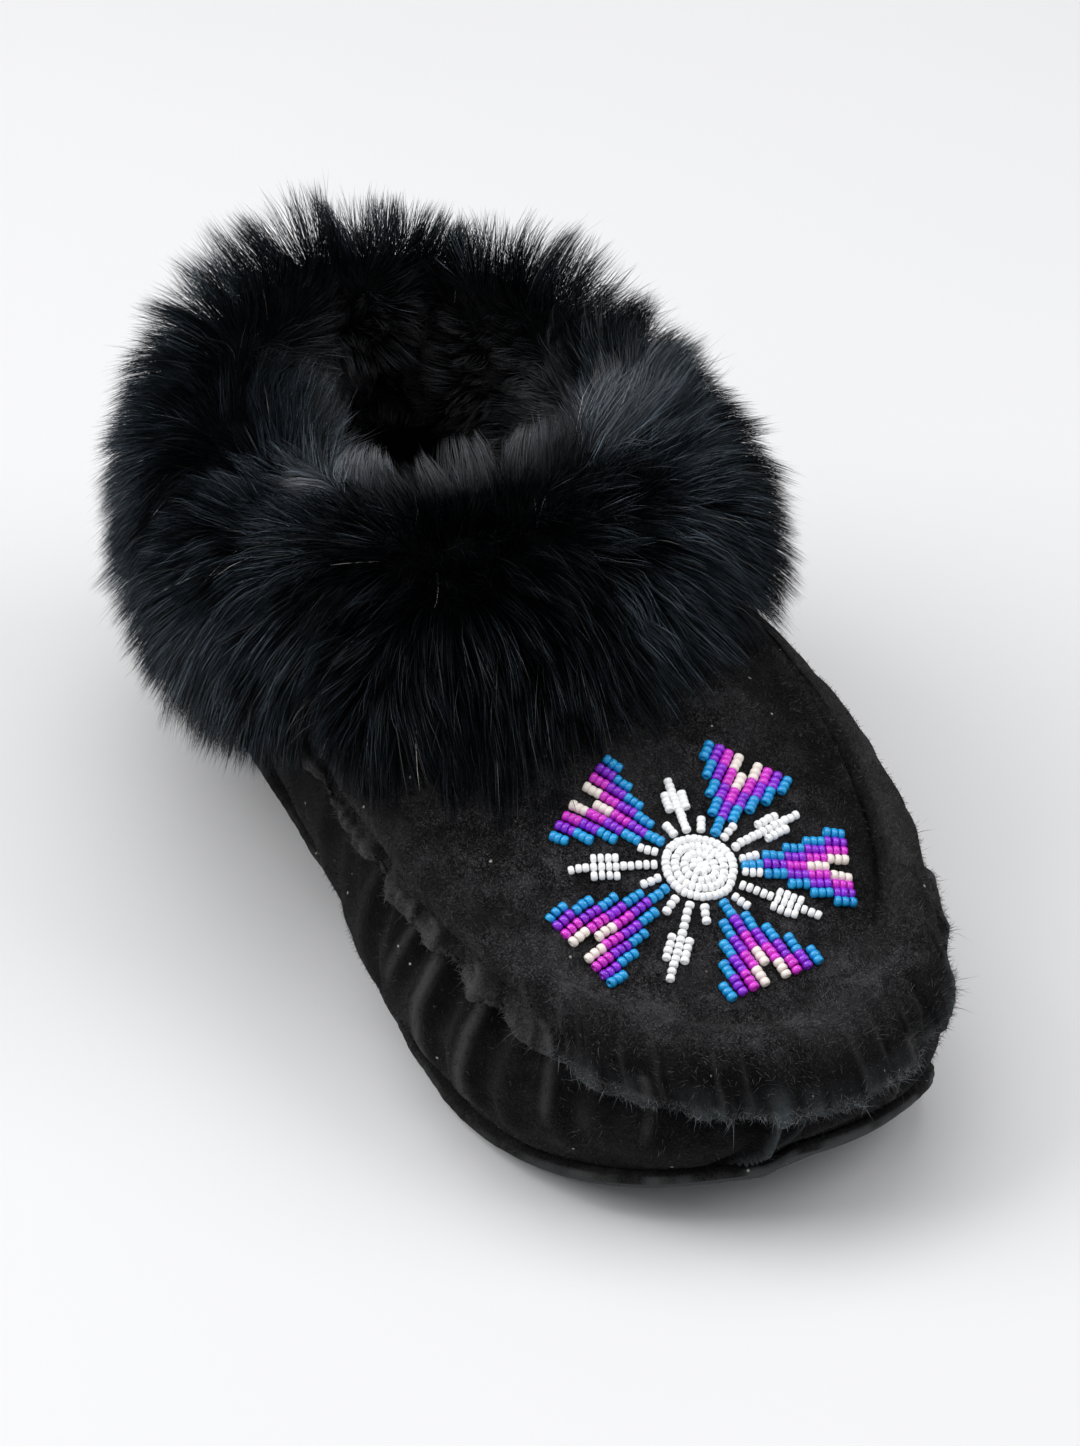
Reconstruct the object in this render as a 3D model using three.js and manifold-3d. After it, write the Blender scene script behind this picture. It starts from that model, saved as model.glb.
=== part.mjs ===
// A slipper moccasin for the right foot: suede upper on a thin lipped sole, fur cuff, beaded rosette.
// Millimetres. The toe points along +X, the wearer's left along +Y, up along +Z.
import * as THREE from 'three';
import Module from 'manifold-3d';

const wasm = await Module();
wasm.setup();

// Main sizes
const SOLE_LENGTH = 249;
const GAP = 0.3;
const STATIONS = 30;

// Sole: a tread layer, and above it a rounded lip that stands out past the tread
const TREAD_THICK = 2.0;
const LIP_THICK = 2.5;
const LIP_OUT = 2.2;
const LIP_ROUND = 0.7;
const SOLE_THICK = TREAD_THICK + LIP_THICK;
const HEEL_CURL = { until: 0.05, lift: 1.2 };
const ARCH = { from: 0.32, until: 0.54, lift: 2.5 };
const TOE_SPRING = { from: 0.74, lift: 14, power: 1.7 };

// Upper: wall thickness, and how far its lower edge stands in from the edge of the lip
const WALL = 2.5;
const WALL_INSET = 3.0;

// Flange of raw edges and padded roll round the vamp
const FLANGE_OUT = 4.5;
const FLANGE_THICK = 2.2;
const ROLL_RISE = 4.5;
const ROLL_WIDTH = 10;
const SEAM_FADE = { from: 0.30, until: 0.46 };
// At the toe the face of the roll comes out over the flange
const TOE_FACE = { from: 0.80, until: 0.97, out: 3.2 };

// Just inside the seam the vamp rises quickly, then more gently toward the collar
const SHOULDER = { rise: 9, width: 14 };

// Insole
const INSOLE_THICK = 3.5;
const INSOLE_INSET = WALL_INSET + WALL + 1.2;

// Collar: the top edge of the upper, an egg shape round the ankle
const COLLAR = { back: 12, front: 120, halfWidth: 39, roundness: 0.9, lean: 5 };

// Edge of the lip, seen from above: lateral is the wearer's right, medial the left
const SOLE_EDGE = [
  { along: 0.00, lateral: 0, medial: 0 },
  { along: 0.02, lateral: -18, medial: 18 },
  { along: 0.07, lateral: -30, medial: 30 },
  { along: 0.15, lateral: -36, medial: 35 },
  { along: 0.28, lateral: -38, medial: 36 },
  { along: 0.42, lateral: -41, medial: 38 },
  { along: 0.56, lateral: -46, medial: 44 },
  { along: 0.68, lateral: -49, medial: 50 },
  { along: 0.78, lateral: -48, medial: 53 },
  { along: 0.87, lateral: -41, medial: 51 },
  { along: 0.94, lateral: -28, medial: 43 },
  { along: 0.98, lateral: -11, medial: 30 },
  { along: 1.00, lateral: 10, medial: 10 },
];

// Top of the side wall: at the front the seam with the vamp, at the heel a level on the wall
const SEAM = { back: 0, front: 249 };
const SEAM_EDGE = [
  { along: 0.00, lateral: 0, medial: 0, lateralHeight: 50, medialHeight: 50 },
  { along: 0.02, lateral: -19, medial: 19, lateralHeight: 50, medialHeight: 50 },
  { along: 0.07, lateral: -31, medial: 31, lateralHeight: 50, medialHeight: 50 },
  { along: 0.15, lateral: -38, medial: 37, lateralHeight: 50, medialHeight: 50 },
  { along: 0.28, lateral: -42, medial: 42, lateralHeight: 50, medialHeight: 53 },
  { along: 0.42, lateral: -45, medial: 48, lateralHeight: 50, medialHeight: 56 },
  { along: 0.56, lateral: -47, medial: 52, lateralHeight: 48, medialHeight: 56 },
  { along: 0.68, lateral: -47, medial: 54, lateralHeight: 46, medialHeight: 54 },
  { along: 0.78, lateral: -44, medial: 53, lateralHeight: 43, medialHeight: 50 },
  { along: 0.87, lateral: -37, medial: 49, lateralHeight: 39, medialHeight: 44 },
  { along: 0.94, lateral: -25, medial: 41, lateralHeight: 35, medialHeight: 38 },
  { along: 0.98, lateral: -9, medial: 29, lateralHeight: 33, medialHeight: 34 },
  { along: 1.00, lateral: 10, medial: 10, lateralHeight: 32, medialHeight: 32 },
];

// Height of the collar, outward bulge of the side wall, and how each rib rises from seam to collar
const RIB_FORM = [
  { along: 0.00, lateralCollar: 98, medialCollar: 98, lateralBulge: 3, medialBulge: 3, rise: 1.00 },
  { along: 0.20, lateralCollar: 89, medialCollar: 96, lateralBulge: 4, medialBulge: 3, rise: 1.00 },
  { along: 0.45, lateralCollar: 86, medialCollar: 93, lateralBulge: 7, medialBulge: 3, rise: 0.95 },
  { along: 0.75, lateralCollar: 92, medialCollar: 95, lateralBulge: 9, medialBulge: 2, rise: 1.00 },
  { along: 0.90, lateralCollar: 97, medialCollar: 97, lateralBulge: 5, medialBulge: 2, rise: 1.20 },
  { along: 1.00, lateralCollar: 98, medialCollar: 98, lateralBulge: 2, medialBulge: 2, rise: 1.35 },
];

// Length of the cuff's flap and depth of its fur round the collar, as shares of the section below
const CUFF_FORM = [
  { along: 0.00, lateralFlap: 1.00, medialFlap: 1.00, lateralFluff: 0.95, medialFluff: 0.95 },
  { along: 0.20, lateralFlap: 0.98, medialFlap: 1.00, lateralFluff: 0.98, medialFluff: 0.91 },
  { along: 0.45, lateralFlap: 0.92, medialFlap: 0.95, lateralFluff: 1.00, medialFluff: 0.80 },
  { along: 0.75, lateralFlap: 0.88, medialFlap: 0.82, lateralFluff: 0.96, medialFluff: 0.78 },
  { along: 0.90, lateralFlap: 0.77, medialFlap: 0.72, lateralFluff: 0.94, medialFluff: 0.84 },
  { along: 1.00, lateralFlap: 0.68, medialFlap: 0.68, lateralFluff: 0.90, medialFluff: 0.90 },
];

// Height of the cuff's roll round the collar, as a share of the section below
const CREST_FORM = [
  { along: 0.00, lateral: 1.12, medial: 1.12 },
  { along: 0.08, lateral: 1.08, medial: 0.80 },
  { along: 0.20, lateral: 1.02, medial: 1.06 },
  { along: 0.45, lateral: 0.92, medial: 1.10 },
  { along: 0.75, lateral: 0.74, medial: 0.98 },
  { along: 0.90, lateral: 0.78, medial: 0.90 },
  { along: 1.00, lateral: 0.88, medial: 0.88 },
];

// Fur cuff, cut across: `down` follows the outside of the upper from the collar edge, `out` stands off it
const CUFF_OUTSIDE = [
  { down: 62, out: 1.5 },
  { down: 65, out: 8 },
  { down: 56, out: 18 },
  { down: 40, out: 26 },
  { down: 22, out: 29 },
  { down: 6, out: 28 },
];
// The roll above the collar edge, then the part turned inside: `out` is negative inside
const CUFF_TOP = [
  { up: 10, out: 23 },
  { up: 22, out: 13 },
  { up: 25, out: 1 },
  { up: 16, out: -9 },
  { up: 2, out: -13 },
];
const CUFF_INSIDE = [
  { down: 14, out: -12 },
  { down: 28, out: -8 },
];
// Inner edge of the flap, hidden in the wall before the upper is cut away
const CUFF_ROOT = [30, 46, 58];
const CUFF_UPRIGHT = 0.55;
// The cut round the upper is set a little wide, because corners of the wall come closer than its faces
const CUFF_CLEAR = 1.4 * GAP;

// Locks fused on the cuff: a row along the lower fringe, two on the outside, one on the roll
const LOCK_ROWS = [
  { every: 2, first: 0, down: 56, out: 8, length: 17, radius: 8, lean: 0.3, turn: -1 },
  { every: 3, first: 1, down: 40, out: 16, length: 23, radius: 11, lean: 0.6, turn: -1 },
  { every: 3, first: 2, down: 20, out: 18, length: 23, radius: 11, lean: 0.8, turn: -1 },
  { every: 3, first: 0, down: 2, out: 14, length: 24, radius: 11, lean: 0.6, turn: 1 },
];
const LOCK_SIDES = 5;
const LOCK_FLATNESS = 0.7;
const LOCK_SPAN = 6;

// Beadwork: pitch of beads along a row, then the outline of one petal and one ray in beads and rows
const BEAD_PITCH = 1.55;
const BEAD_THICK = 1.7;
const BEAD_SEAT = 0.5;
const ROSETTE = { x: 196.4, y: 4.6 };
const DISC = { radius: 8.2, sides: 20 };
const FIRST_BEAD = 9.2;
const PETAL = {
  rowPitch: 2.5,
  outline: [
    { bead: 0, rows: 1 },
    { bead: 3, rows: 3 },
    { bead: 6, rows: 5 },
    { bead: 9, rows: 7 },
    { bead: 12, rows: 9 },
    { bead: 15, rows: 9 },
  ],
};
const RAY = {
  rowPitch: 2.0,
  outline: [
    { bead: 0, rows: 3 },
    { bead: 2, rows: 3 },
    { bead: 2.3, rows: 1 },
    { bead: 4.7, rows: 1 },
    { bead: 5, rows: 3 },
    { bead: 9, rows: 3 },
    { bead: 9.3, rows: 1 },
    { bead: 12, rows: 1 },
  ],
};
// Each arm's turn from the toe direction toward the medial side, its length and width against the chart
const ARMS = [
  { name: 'bead_petal_1', chart: PETAL, turn: 6, stretch: 0.97, widen: 1.10 },
  { name: 'bead_petal_2', chart: PETAL, turn: 72, stretch: 1.03, widen: 0.88 },
  { name: 'bead_petal_3', chart: PETAL, turn: 134, stretch: 0.94, widen: 0.92 },
  { name: 'bead_petal_4', chart: PETAL, turn: 214, stretch: 0.94, widen: 1.10 },
  { name: 'bead_petal_5', chart: PETAL, turn: 285, stretch: 1.07, widen: 1.02 },
  { name: 'bead_ray_1', chart: RAY, turn: 43.5, stretch: 1.02, widen: 1 },
  { name: 'bead_ray_2', chart: RAY, turn: 102, stretch: 0.98, widen: 1 },
  { name: 'bead_ray_3', chart: RAY, turn: 172, stretch: 0.78, widen: 1 },
  { name: 'bead_ray_4', chart: RAY, turn: 250, stretch: 1.05, widen: 1 },
  { name: 'bead_ray_5', chart: RAY, turn: 322, stretch: 1.07, widen: 1 },
];

const UP = new THREE.Vector3(0, 0, 1);

// Heel-to-toe angle: 0 at the back of the heel, half a turn at the tip of the toe
function angleOf(along) {
  return Math.acos(1 - 2 * along);
}

function alongOf(angle) {
  return (1 - Math.cos(angle)) / 2;
}

function smoothStep(from, until, value) {
  const s = Math.min(1, Math.max(0, (value - from) / (until - from)));
  return s * s * (3 - 2 * s);
}

// A smooth curve through one column of a table, read by heel-to-toe angle
function columnCurve(rows, name) {
  const angles = rows.map((row) => angleOf(row.along));
  const values = rows.map((row) => row[name]);
  const last = rows.length - 1;
  const slopes = rows.map((row, k) => {
    const before = Math.max(k - 1, 0);
    const after = Math.min(k + 1, last);
    return (values[after] - values[before]) / (angles[after] - angles[before]);
  });
  return (angle) => {
    let k = 0;
    while (k < last - 1 && angle > angles[k + 1]) {
      k += 1;
    }
    const span = angles[k + 1] - angles[k];
    const s = (angle - angles[k]) / span;
    const blend = s * s * (3 - 2 * s);
    const leave = s * (1 - s) * (1 - s) * span * slopes[k];
    const arrive = s * s * (s - 1) * span * slopes[k + 1];
    return values[k] + (values[k + 1] - values[k]) * blend + leave + arrive;
  };
}

function sideCurves(rows, ending) {
  return { lateral: columnCurve(rows, `lateral${ending}`), medial: columnCurve(rows, `medial${ending}`) };
}

const soleCurve = sideCurves(SOLE_EDGE, '');
const seamCurve = sideCurves(SEAM_EDGE, '');
const seamHeight = sideCurves(SEAM_EDGE, 'Height');
const collarHeight = sideCurves(RIB_FORM, 'Collar');
const wallBulge = sideCurves(RIB_FORM, 'Bulge');
const flapLength = sideCurves(CUFF_FORM, 'Flap');
const furDepth = sideCurves(CUFF_FORM, 'Fluff');
const rollHeight = sideCurves(CREST_FORM, '');
const ribRise = columnCurve(RIB_FORM, 'rise');

// Ribs stand round the shoe: heel, lateral side, toe, medial side and back to the heel
const RIB_COUNT = 2 * STATIONS;
const ribs = [];
for (let k = 0; k < RIB_COUNT; k += 1) {
  const side = k <= STATIONS ? 'lateral' : 'medial';
  const station = k <= STATIONS ? k : RIB_COUNT - k;
  ribs.push({ side, angle: (Math.PI * station) / STATIONS });
}

function wrap(k) {
  return (k + RIB_COUNT) % RIB_COUNT;
}

// Height of the underside of the sole above the floor
function soleLift(x) {
  const along = x / SOLE_LENGTH;
  if (along < HEEL_CURL.until) {
    return HEEL_CURL.lift * ((HEEL_CURL.until - along) / HEEL_CURL.until) ** 2;
  }
  if (along > ARCH.from && along < ARCH.until) {
    const s = (along - ARCH.from) / (ARCH.until - ARCH.from);
    return ARCH.lift * Math.sin(Math.PI * s) ** 2;
  }
  if (along > TOE_SPRING.from) {
    const s = (along - TOE_SPRING.from) / (1 - TOE_SPRING.from);
    return TOE_SPRING.lift * s ** TOE_SPRING.power;
  }
  return 0;
}

// Plan directions that point out of the shoe, one per rib
function outwardOf(ring) {
  return ring.map((point, k) => {
    const run = ring[wrap(k + 1)].clone().sub(ring[wrap(k - 1)]);
    run.z = 0;
    return run.cross(UP).normalize();
  });
}

const soleRing = ribs.map(
  (rib) => new THREE.Vector3(SOLE_LENGTH * alongOf(rib.angle), soleCurve[rib.side](rib.angle), 0),
);
const outward = outwardOf(soleRing);

// The edge of the sole moved in, at a height above the underside
function soleLevel(inset, height) {
  return soleRing.map((point, k) => {
    const moved = point.clone().addScaledVector(outward[k], -inset);
    moved.z = soleLift(moved.x) + height;
    return moved;
  });
}

// The three loops that carry the upper
const feather = soleLevel(WALL_INSET, SOLE_THICK + GAP);
const seam = ribs.map((rib) => {
  const x = SEAM.back + (SEAM.front - SEAM.back) * alongOf(rib.angle);
  return new THREE.Vector3(x, seamCurve[rib.side](rib.angle), seamHeight[rib.side](rib.angle));
});
const collar = ribs.map((rib) => {
  const x = COLLAR.back + (COLLAR.front - COLLAR.back) * alongOf(rib.angle);
  const half = COLLAR.halfWidth * Math.sin(rib.angle) ** COLLAR.roundness;
  const y = COLLAR.lean * alongOf(rib.angle) + (rib.side === 'lateral' ? -half : half);
  return new THREE.Vector3(x, y, collarHeight[rib.side](rib.angle));
});

// How much of the flange and roll shows: all of it at the front, none behind the ankle
function seamStrength(k) {
  return smoothStep(SEAM_FADE.from, SEAM_FADE.until, alongOf(ribs[k].angle));
}

// How far the face of the roll comes out at one rib
function toeFace(k) {
  return TOE_FACE.out * smoothStep(TOE_FACE.from, TOE_FACE.until, alongOf(ribs[k].angle));
}

// A point of the plain upper: `way` runs 0 to 1 up the side wall, 1 to 2 from the seam to the collar
function upperPoint(k, way) {
  const rib = wrap(k);
  const angle = ribs[rib].angle;
  if (way <= 1) {
    const bulge = wallBulge[ribs[rib].side](angle) * Math.sin(Math.PI * way);
    return feather[rib].clone().lerp(seam[rib], way).addScaledVector(outward[rib], bulge);
  }
  const across = way - 1;
  const point = seam[rib].clone().lerp(collar[rib], across);
  const inward = Math.hypot(point.x - seam[rib].x, point.y - seam[rib].y);
  const near = 1 - Math.min(1, inward / SHOULDER.width);
  const shoulder = SHOULDER.rise * seamStrength(rib);
  const rise = (collar[rib].z - seam[rib].z - shoulder) * across ** ribRise(angle);
  point.z = seam[rib].z + shoulder * (1 - near * near) + rise;
  return point;
}

const WAY_STEP = 0.04;
function upperNormal(k, way) {
  const round = upperPoint(k + 1, way).sub(upperPoint(k - 1, way));
  const above = upperPoint(k, Math.min(2, way + WAY_STEP));
  const below = upperPoint(k, Math.max(0, way - WAY_STEP));
  return round.cross(above.sub(below)).normalize();
}

// Triangles between rings that lie one above another
function joinRings(rings, closed) {
  const count = rings[0].length;
  const vertices = rings.flat();
  const triangles = [];
  const bands = closed ? rings.length : rings.length - 1;
  for (let row = 0; row < bands; row += 1) {
    const next = (row + 1) % rings.length;
    for (let k = 0; k < count; k += 1) {
      const a = row * count + k;
      const b = row * count + ((k + 1) % count);
      const c = next * count + ((k + 1) % count);
      const d = next * count + k;
      triangles.push([a, b, c], [a, c, d]);
    }
  }
  return { vertices, triangles };
}

// A flat cover across a ring, in strips from the lateral to the medial side
function coverRing(shell, row, facingUp) {
  const start = row * RIB_COUNT;
  for (let station = 0; station < STATIONS; station += 1) {
    const a = start + station;
    const b = start + station + 1;
    const c = start + wrap(RIB_COUNT - station - 1);
    const d = start + wrap(RIB_COUNT - station);
    const strip = [];
    if (b !== c) {
      strip.push([a, b, c]);
    }
    if (a !== d) {
      strip.push([a, c, d]);
    }
    for (const corner of strip) {
      shell.triangles.push(facingUp ? corner : corner.reverse());
    }
  }
}

function stackRings(rings) {
  const shell = joinRings(rings, false);
  coverRing(shell, 0, false);
  coverRing(shell, rings.length - 1, true);
  return shell;
}

function toManifold(shell) {
  const vertProperties = new Float32Array(shell.vertices.flatMap((v) => [v.x, v.y, v.z]));
  const triVerts = new Uint32Array(shell.triangles.flat());
  return new wasm.Manifold(new wasm.Mesh({ numProp: 3, vertProperties, triVerts }));
}

function toGeometry(shell) {
  const geometry = new THREE.BufferGeometry();
  const positions = shell.vertices.flatMap((v) => [v.x, v.y, v.z]);
  geometry.setAttribute('position', new THREE.Float32BufferAttribute(positions, 3));
  geometry.setIndex(shell.triangles.flat());
  geometry.computeVertexNormals();
  return geometry;
}

function fromManifold(solid) {
  const mesh = solid.getMesh();
  const geometry = new THREE.BufferGeometry();
  geometry.setAttribute('position', new THREE.BufferAttribute(mesh.vertProperties, 3));
  geometry.setIndex(new THREE.BufferAttribute(mesh.triVerts, 1));
  geometry.computeVertexNormals();
  return geometry;
}

// A shell with every corner moved out along its own normal
function grownShell(shell, distance) {
  const normals = toGeometry(shell).getAttribute('normal');
  const vertices = shell.vertices.map((v, k) => {
    const normal = new THREE.Vector3().fromBufferAttribute(normals, k);
    return v.clone().addScaledVector(normal, distance);
  });
  return { vertices, triangles: shell.triangles };
}

function buildSole() {
  const lipRound = LIP_THICK / 2;
  return stackRings([
    soleLevel(LIP_OUT, 0),
    soleLevel(LIP_OUT, TREAD_THICK),
    soleLevel(LIP_ROUND, TREAD_THICK),
    soleLevel(0, TREAD_THICK + lipRound),
    soleLevel(LIP_ROUND, SOLE_THICK),
  ]);
}

function buildInsole() {
  const bottom = SOLE_THICK + GAP;
  return stackRings([
    soleLevel(INSOLE_INSET, bottom),
    soleLevel(INSOLE_INSET, bottom + INSOLE_THICK),
  ]);
}

// Outer skin: wall, flange, roll and vamp, ring by ring
const WALL_WAYS = [0, 0.2, 0.4, 0.6, 0.8, 0.94];
const FLANGE_RINGS = [
  { way: 0.98, out: 1, up: 0, face: 0 },
  { way: 1.0, out: 1, up: 1, face: 0 },
  { way: 1.02, out: 0.15, up: 1.2, face: 1 },
];
const ROLL_RINGS = [
  { share: 0.18, rise: 0.8, face: 0.5 },
  { share: 0.45, rise: 1, face: 0 },
  { share: 0.8, rise: 0.5, face: 0 },
  { share: 1, rise: 0.1, face: 0 },
];
const VAMP_RINGS = 7;
const INNER_WAYS = [2, 1.8, 1.6, 1.4, 1.2, 1.0, 0.75, 0.5, 0.25, 0];

// The way at a plan distance inward of the seam; on short ribs the roll keeps to a share of the rib
const ROLL_START = 1.03;
const SHORT_RIB = 28;
function rollWay(k, inward) {
  const reach = Math.hypot(seam[k].x - collar[k].x, seam[k].y - collar[k].y);
  return ROLL_START + inward / Math.max(reach, SHORT_RIB);
}

function buildUpper() {
  const rings = WALL_WAYS.map((way) => ribs.map((rib, k) => upperPoint(k, way)));
  for (const ring of FLANGE_RINGS) {
    rings.push(ribs.map((rib, k) => {
      const point = upperPoint(k, ring.way);
      const out = FLANGE_OUT * ring.out * seamStrength(k) + ring.face * toeFace(k);
      point.addScaledVector(outward[k], out);
      point.z += FLANGE_THICK * ring.up * seamStrength(k);
      return point;
    }));
  }
  for (const ring of ROLL_RINGS) {
    rings.push(ribs.map((rib, k) => {
      const way = rollWay(k, ROLL_WIDTH * ring.share);
      const lift = ROLL_RISE * ring.rise * seamStrength(k);
      const point = upperPoint(k, way).addScaledVector(upperNormal(k, way), lift);
      return point.addScaledVector(outward[k], ring.face * toeFace(k));
    }));
  }
  for (let row = 1; row <= VAMP_RINGS; row += 1) {
    rings.push(ribs.map((rib, k) => {
      const start = rollWay(k, ROLL_WIDTH);
      return upperPoint(k, start + ((2 - start) * row) / VAMP_RINGS);
    }));
  }
  for (const way of INNER_WAYS) {
    rings.push(ribs.map((rib, k) => upperPoint(k, way).addScaledVector(upperNormal(k, way), -WALL)));
  }
  return joinRings(rings, true);
}

// Where a distance down from the collar edge comes to on one rib, with the normal there
const RIB_STEPS = 40;
function downRib(k, flapDistance) {
  const rib = ribs[wrap(k)];
  const distance = flapDistance * flapLength[rib.side](rib.angle);
  let travelled = 0;
  let way = 2;
  let point = upperPoint(k, way);
  for (let step = 1; step <= RIB_STEPS; step += 1) {
    const next = upperPoint(k, 2 - (2 * step) / RIB_STEPS);
    const length = next.distanceTo(point);
    if (travelled + length > distance) {
      way -= ((distance - travelled) / length) * (2 / RIB_STEPS);
      break;
    }
    travelled += length;
    way = 2 - (2 * step) / RIB_STEPS;
    point = next;
  }
  return { point: upperPoint(k, way), normal: upperNormal(k, way) };
}

// Directions of the cuff at the collar edge of one rib
function collarFrame(k) {
  const edge = upperPoint(k, 2);
  const rising = edge.clone().sub(upperPoint(k, 2 - WAY_STEP)).normalize();
  const up = rising.lerp(UP, CUFF_UPRIGHT).normalize();
  const round = upperPoint(k + 1, 2).sub(upperPoint(k - 1, 2)).normalize();
  return { edge, up, out: round.cross(up).normalize() };
}

// A point that stands off the outside of the upper at a distance down from the collar edge
function offRib(k, down, out) {
  const at = downRib(k, down);
  return at.point.addScaledVector(at.normal, out);
}

function buildCuff(upper) {
  const half = WALL / 2;
  const rings = [];
  for (const row of CUFF_OUTSIDE) {
    rings.push(ribs.map((rib, k) => offRib(k, row.down, row.out * furDepth[rib.side](rib.angle))));
  }
  for (const row of CUFF_TOP) {
    rings.push(ribs.map((rib, k) => {
      const at = collarFrame(k);
      const up = row.up * rollHeight[rib.side](rib.angle);
      const out = row.out > 0 ? row.out * furDepth[rib.side](rib.angle) : row.out;
      return at.edge.addScaledVector(at.up, up).addScaledVector(at.out, out);
    }));
  }
  for (const row of CUFF_INSIDE) {
    rings.push(ribs.map((rib, k) => offRib(k, row.down, row.out)));
  }
  for (const down of CUFF_ROOT) {
    rings.push(ribs.map((rib, k) => offRib(k, down, -half)));
  }
  let solid = toManifold(joinRings(rings, true));
  for (const row of LOCK_ROWS) {
    for (let k = row.first; k < RIB_COUNT; k += row.every) {
      solid = solid.add(toManifold(buildLock(k, row)));
    }
  }
  const clearance = toManifold(grownShell(upper, CUFF_CLEAR)).add(toManifold(upper));
  return solid.subtract(clearance);
}

// A pointed lock with its root inside the cuff
function buildLock(k, row) {
  const at = downRib(k, row.down);
  const above = downRib(k, Math.max(0, row.down - LOCK_SPAN)).point;
  const below = downRib(k, row.down + LOCK_SPAN).point;
  const along = above.sub(below).normalize().multiplyScalar(row.turn);
  const rib = ribs[k];
  const root = at.point.clone().addScaledVector(at.normal, row.out * furDepth[rib.side](rib.angle));
  const heading = along.addScaledVector(at.normal, row.lean).normalize();
  const side = new THREE.Vector3().crossVectors(heading, at.normal).normalize();
  const lift = new THREE.Vector3().crossVectors(side, heading);
  const vertices = [];
  for (let corner = 0; corner < LOCK_SIDES; corner += 1) {
    const turn = (2 * Math.PI * corner) / LOCK_SIDES;
    const point = root.clone().addScaledVector(side, row.radius * Math.cos(turn));
    vertices.push(point.addScaledVector(lift, row.radius * LOCK_FLATNESS * Math.sin(turn)));
  }
  vertices.push(root.clone().addScaledVector(heading, row.length));
  const triangles = [];
  for (let corner = 0; corner < LOCK_SIDES; corner += 1) {
    triangles.push([corner, LOCK_SIDES, (corner + 1) % LOCK_SIDES]);
  }
  for (let corner = 1; corner < LOCK_SIDES - 1; corner += 1) {
    triangles.push([0, corner, corner + 1]);
  }
  return { vertices, triangles };
}

// Beadwork lies on the vamp: a plan point is dropped onto the upper's outer skin
const DROP_HEIGHT = 300;
function dropOnVamp(upperMesh, x, y) {
  const fall = new THREE.Raycaster(new THREE.Vector3(x, y, DROP_HEIGHT), UP.clone().negate());
  const hit = fall.intersectObject(upperMesh)[0];
  return { point: hit.point, normal: hit.face.normal.clone() };
}

// Directions in the vamp at the rosette's middle: toward the toe, and toward the medial side
function rosetteFrame(upperMesh) {
  const middle = dropOnVamp(upperMesh, ROSETTE.x, ROSETTE.y);
  const toeward = new THREE.Vector3(1, 0, 0).projectOnPlane(middle.normal).normalize();
  const across = new THREE.Vector3().crossVectors(middle.normal, toeward);
  return { middle: middle.point, toeward, across };
}

// The spot on the vamp at a reach from the rosette's middle, a step to the side, and a turn
function rosetteSpot(upperMesh, frame, reach, side, turn) {
  const angle = THREE.MathUtils.degToRad(turn);
  const ahead = reach * Math.cos(angle) - side * Math.sin(angle);
  const aside = reach * Math.sin(angle) + side * Math.cos(angle);
  const spot = frame.middle.clone().addScaledVector(frame.toeward, ahead);
  spot.addScaledVector(frame.across, aside);
  return dropOnVamp(upperMesh, spot.x, spot.y).point;
}

// A low plate over the vamp through the given spots: `faces` cover it, `rim` goes round its edge
function beadPlate(spots, covers) {
  const count = spots.length;
  const lower = spots.map((spot) => spot.clone().addScaledVector(UP, BEAD_SEAT));
  const upper = spots.map((spot) => spot.clone().addScaledVector(UP, BEAD_SEAT + BEAD_THICK));
  const triangles = [];
  for (const [a, b, c] of covers.faces) {
    triangles.push([a, c, b], [count + a, count + b, count + c]);
  }
  covers.rim.forEach((a, k) => {
    const b = covers.rim[(k + 1) % covers.rim.length];
    triangles.push([a, b, count + b], [a, count + b, count + a]);
  });
  return { vertices: [...lower, ...upper], triangles };
}

function buildArm(upperMesh, frame, arm) {
  const { outline, rowPitch } = arm.chart;
  const spots = [];
  for (const row of outline) {
    const reach = FIRST_BEAD + row.bead * BEAD_PITCH * arm.stretch;
    const half = (row.rows * rowPitch * arm.widen) / 2;
    for (const side of [-half, 0, half]) {
      spots.push(rosetteSpot(upperMesh, frame, reach, side, arm.turn));
    }
  }
  const last = outline.length - 1;
  const faces = [];
  const near = [];
  const far = [];
  for (let row = 0; row < last; row += 1) {
    const a = row * 3;
    faces.push([a, a + 3, a + 4], [a, a + 4, a + 1]);
    faces.push([a + 1, a + 4, a + 5], [a + 1, a + 5, a + 2]);
  }
  for (let row = 0; row <= last; row += 1) {
    near.push(row * 3);
    far.unshift(row * 3 + 2);
  }
  return beadPlate(spots, { faces, rim: [...near, last * 3 + 1, ...far, 1] });
}

function buildDisc(upperMesh, frame) {
  const spots = [];
  const faces = [];
  const rim = [];
  for (let k = 0; k < DISC.sides; k += 1) {
    spots.push(rosetteSpot(upperMesh, frame, DISC.radius, 0, (360 * k) / DISC.sides));
    faces.push([k, (k + 1) % DISC.sides, DISC.sides]);
    rim.push(k);
  }
  spots.push(frame.middle.clone());
  return beadPlate(spots, { faces, rim });
}

const group = new THREE.Group();
group.name = 'moccasin';

function addPart(name, geometry, look) {
  const material = new THREE.MeshStandardMaterial({ ...look, metalness: 0 });
  const mesh = new THREE.Mesh(geometry, material);
  mesh.name = name;
  group.add(mesh);
  return mesh;
}

const SUEDE = { color: 0x17161a, roughness: 0.95 };
const SOLE_SUEDE = { color: 0x2a2927, roughness: 0.9 };
const FUR = { color: 0x0c0c0e, roughness: 0.9 };
const FLEECE = { color: 0x141414, roughness: 1 };
const WHITE_BEADS = { color: 0xe8e8ea, roughness: 0.3 };
const VIOLET_BEADS = { color: 0x9a35c8, roughness: 0.3 };

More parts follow.
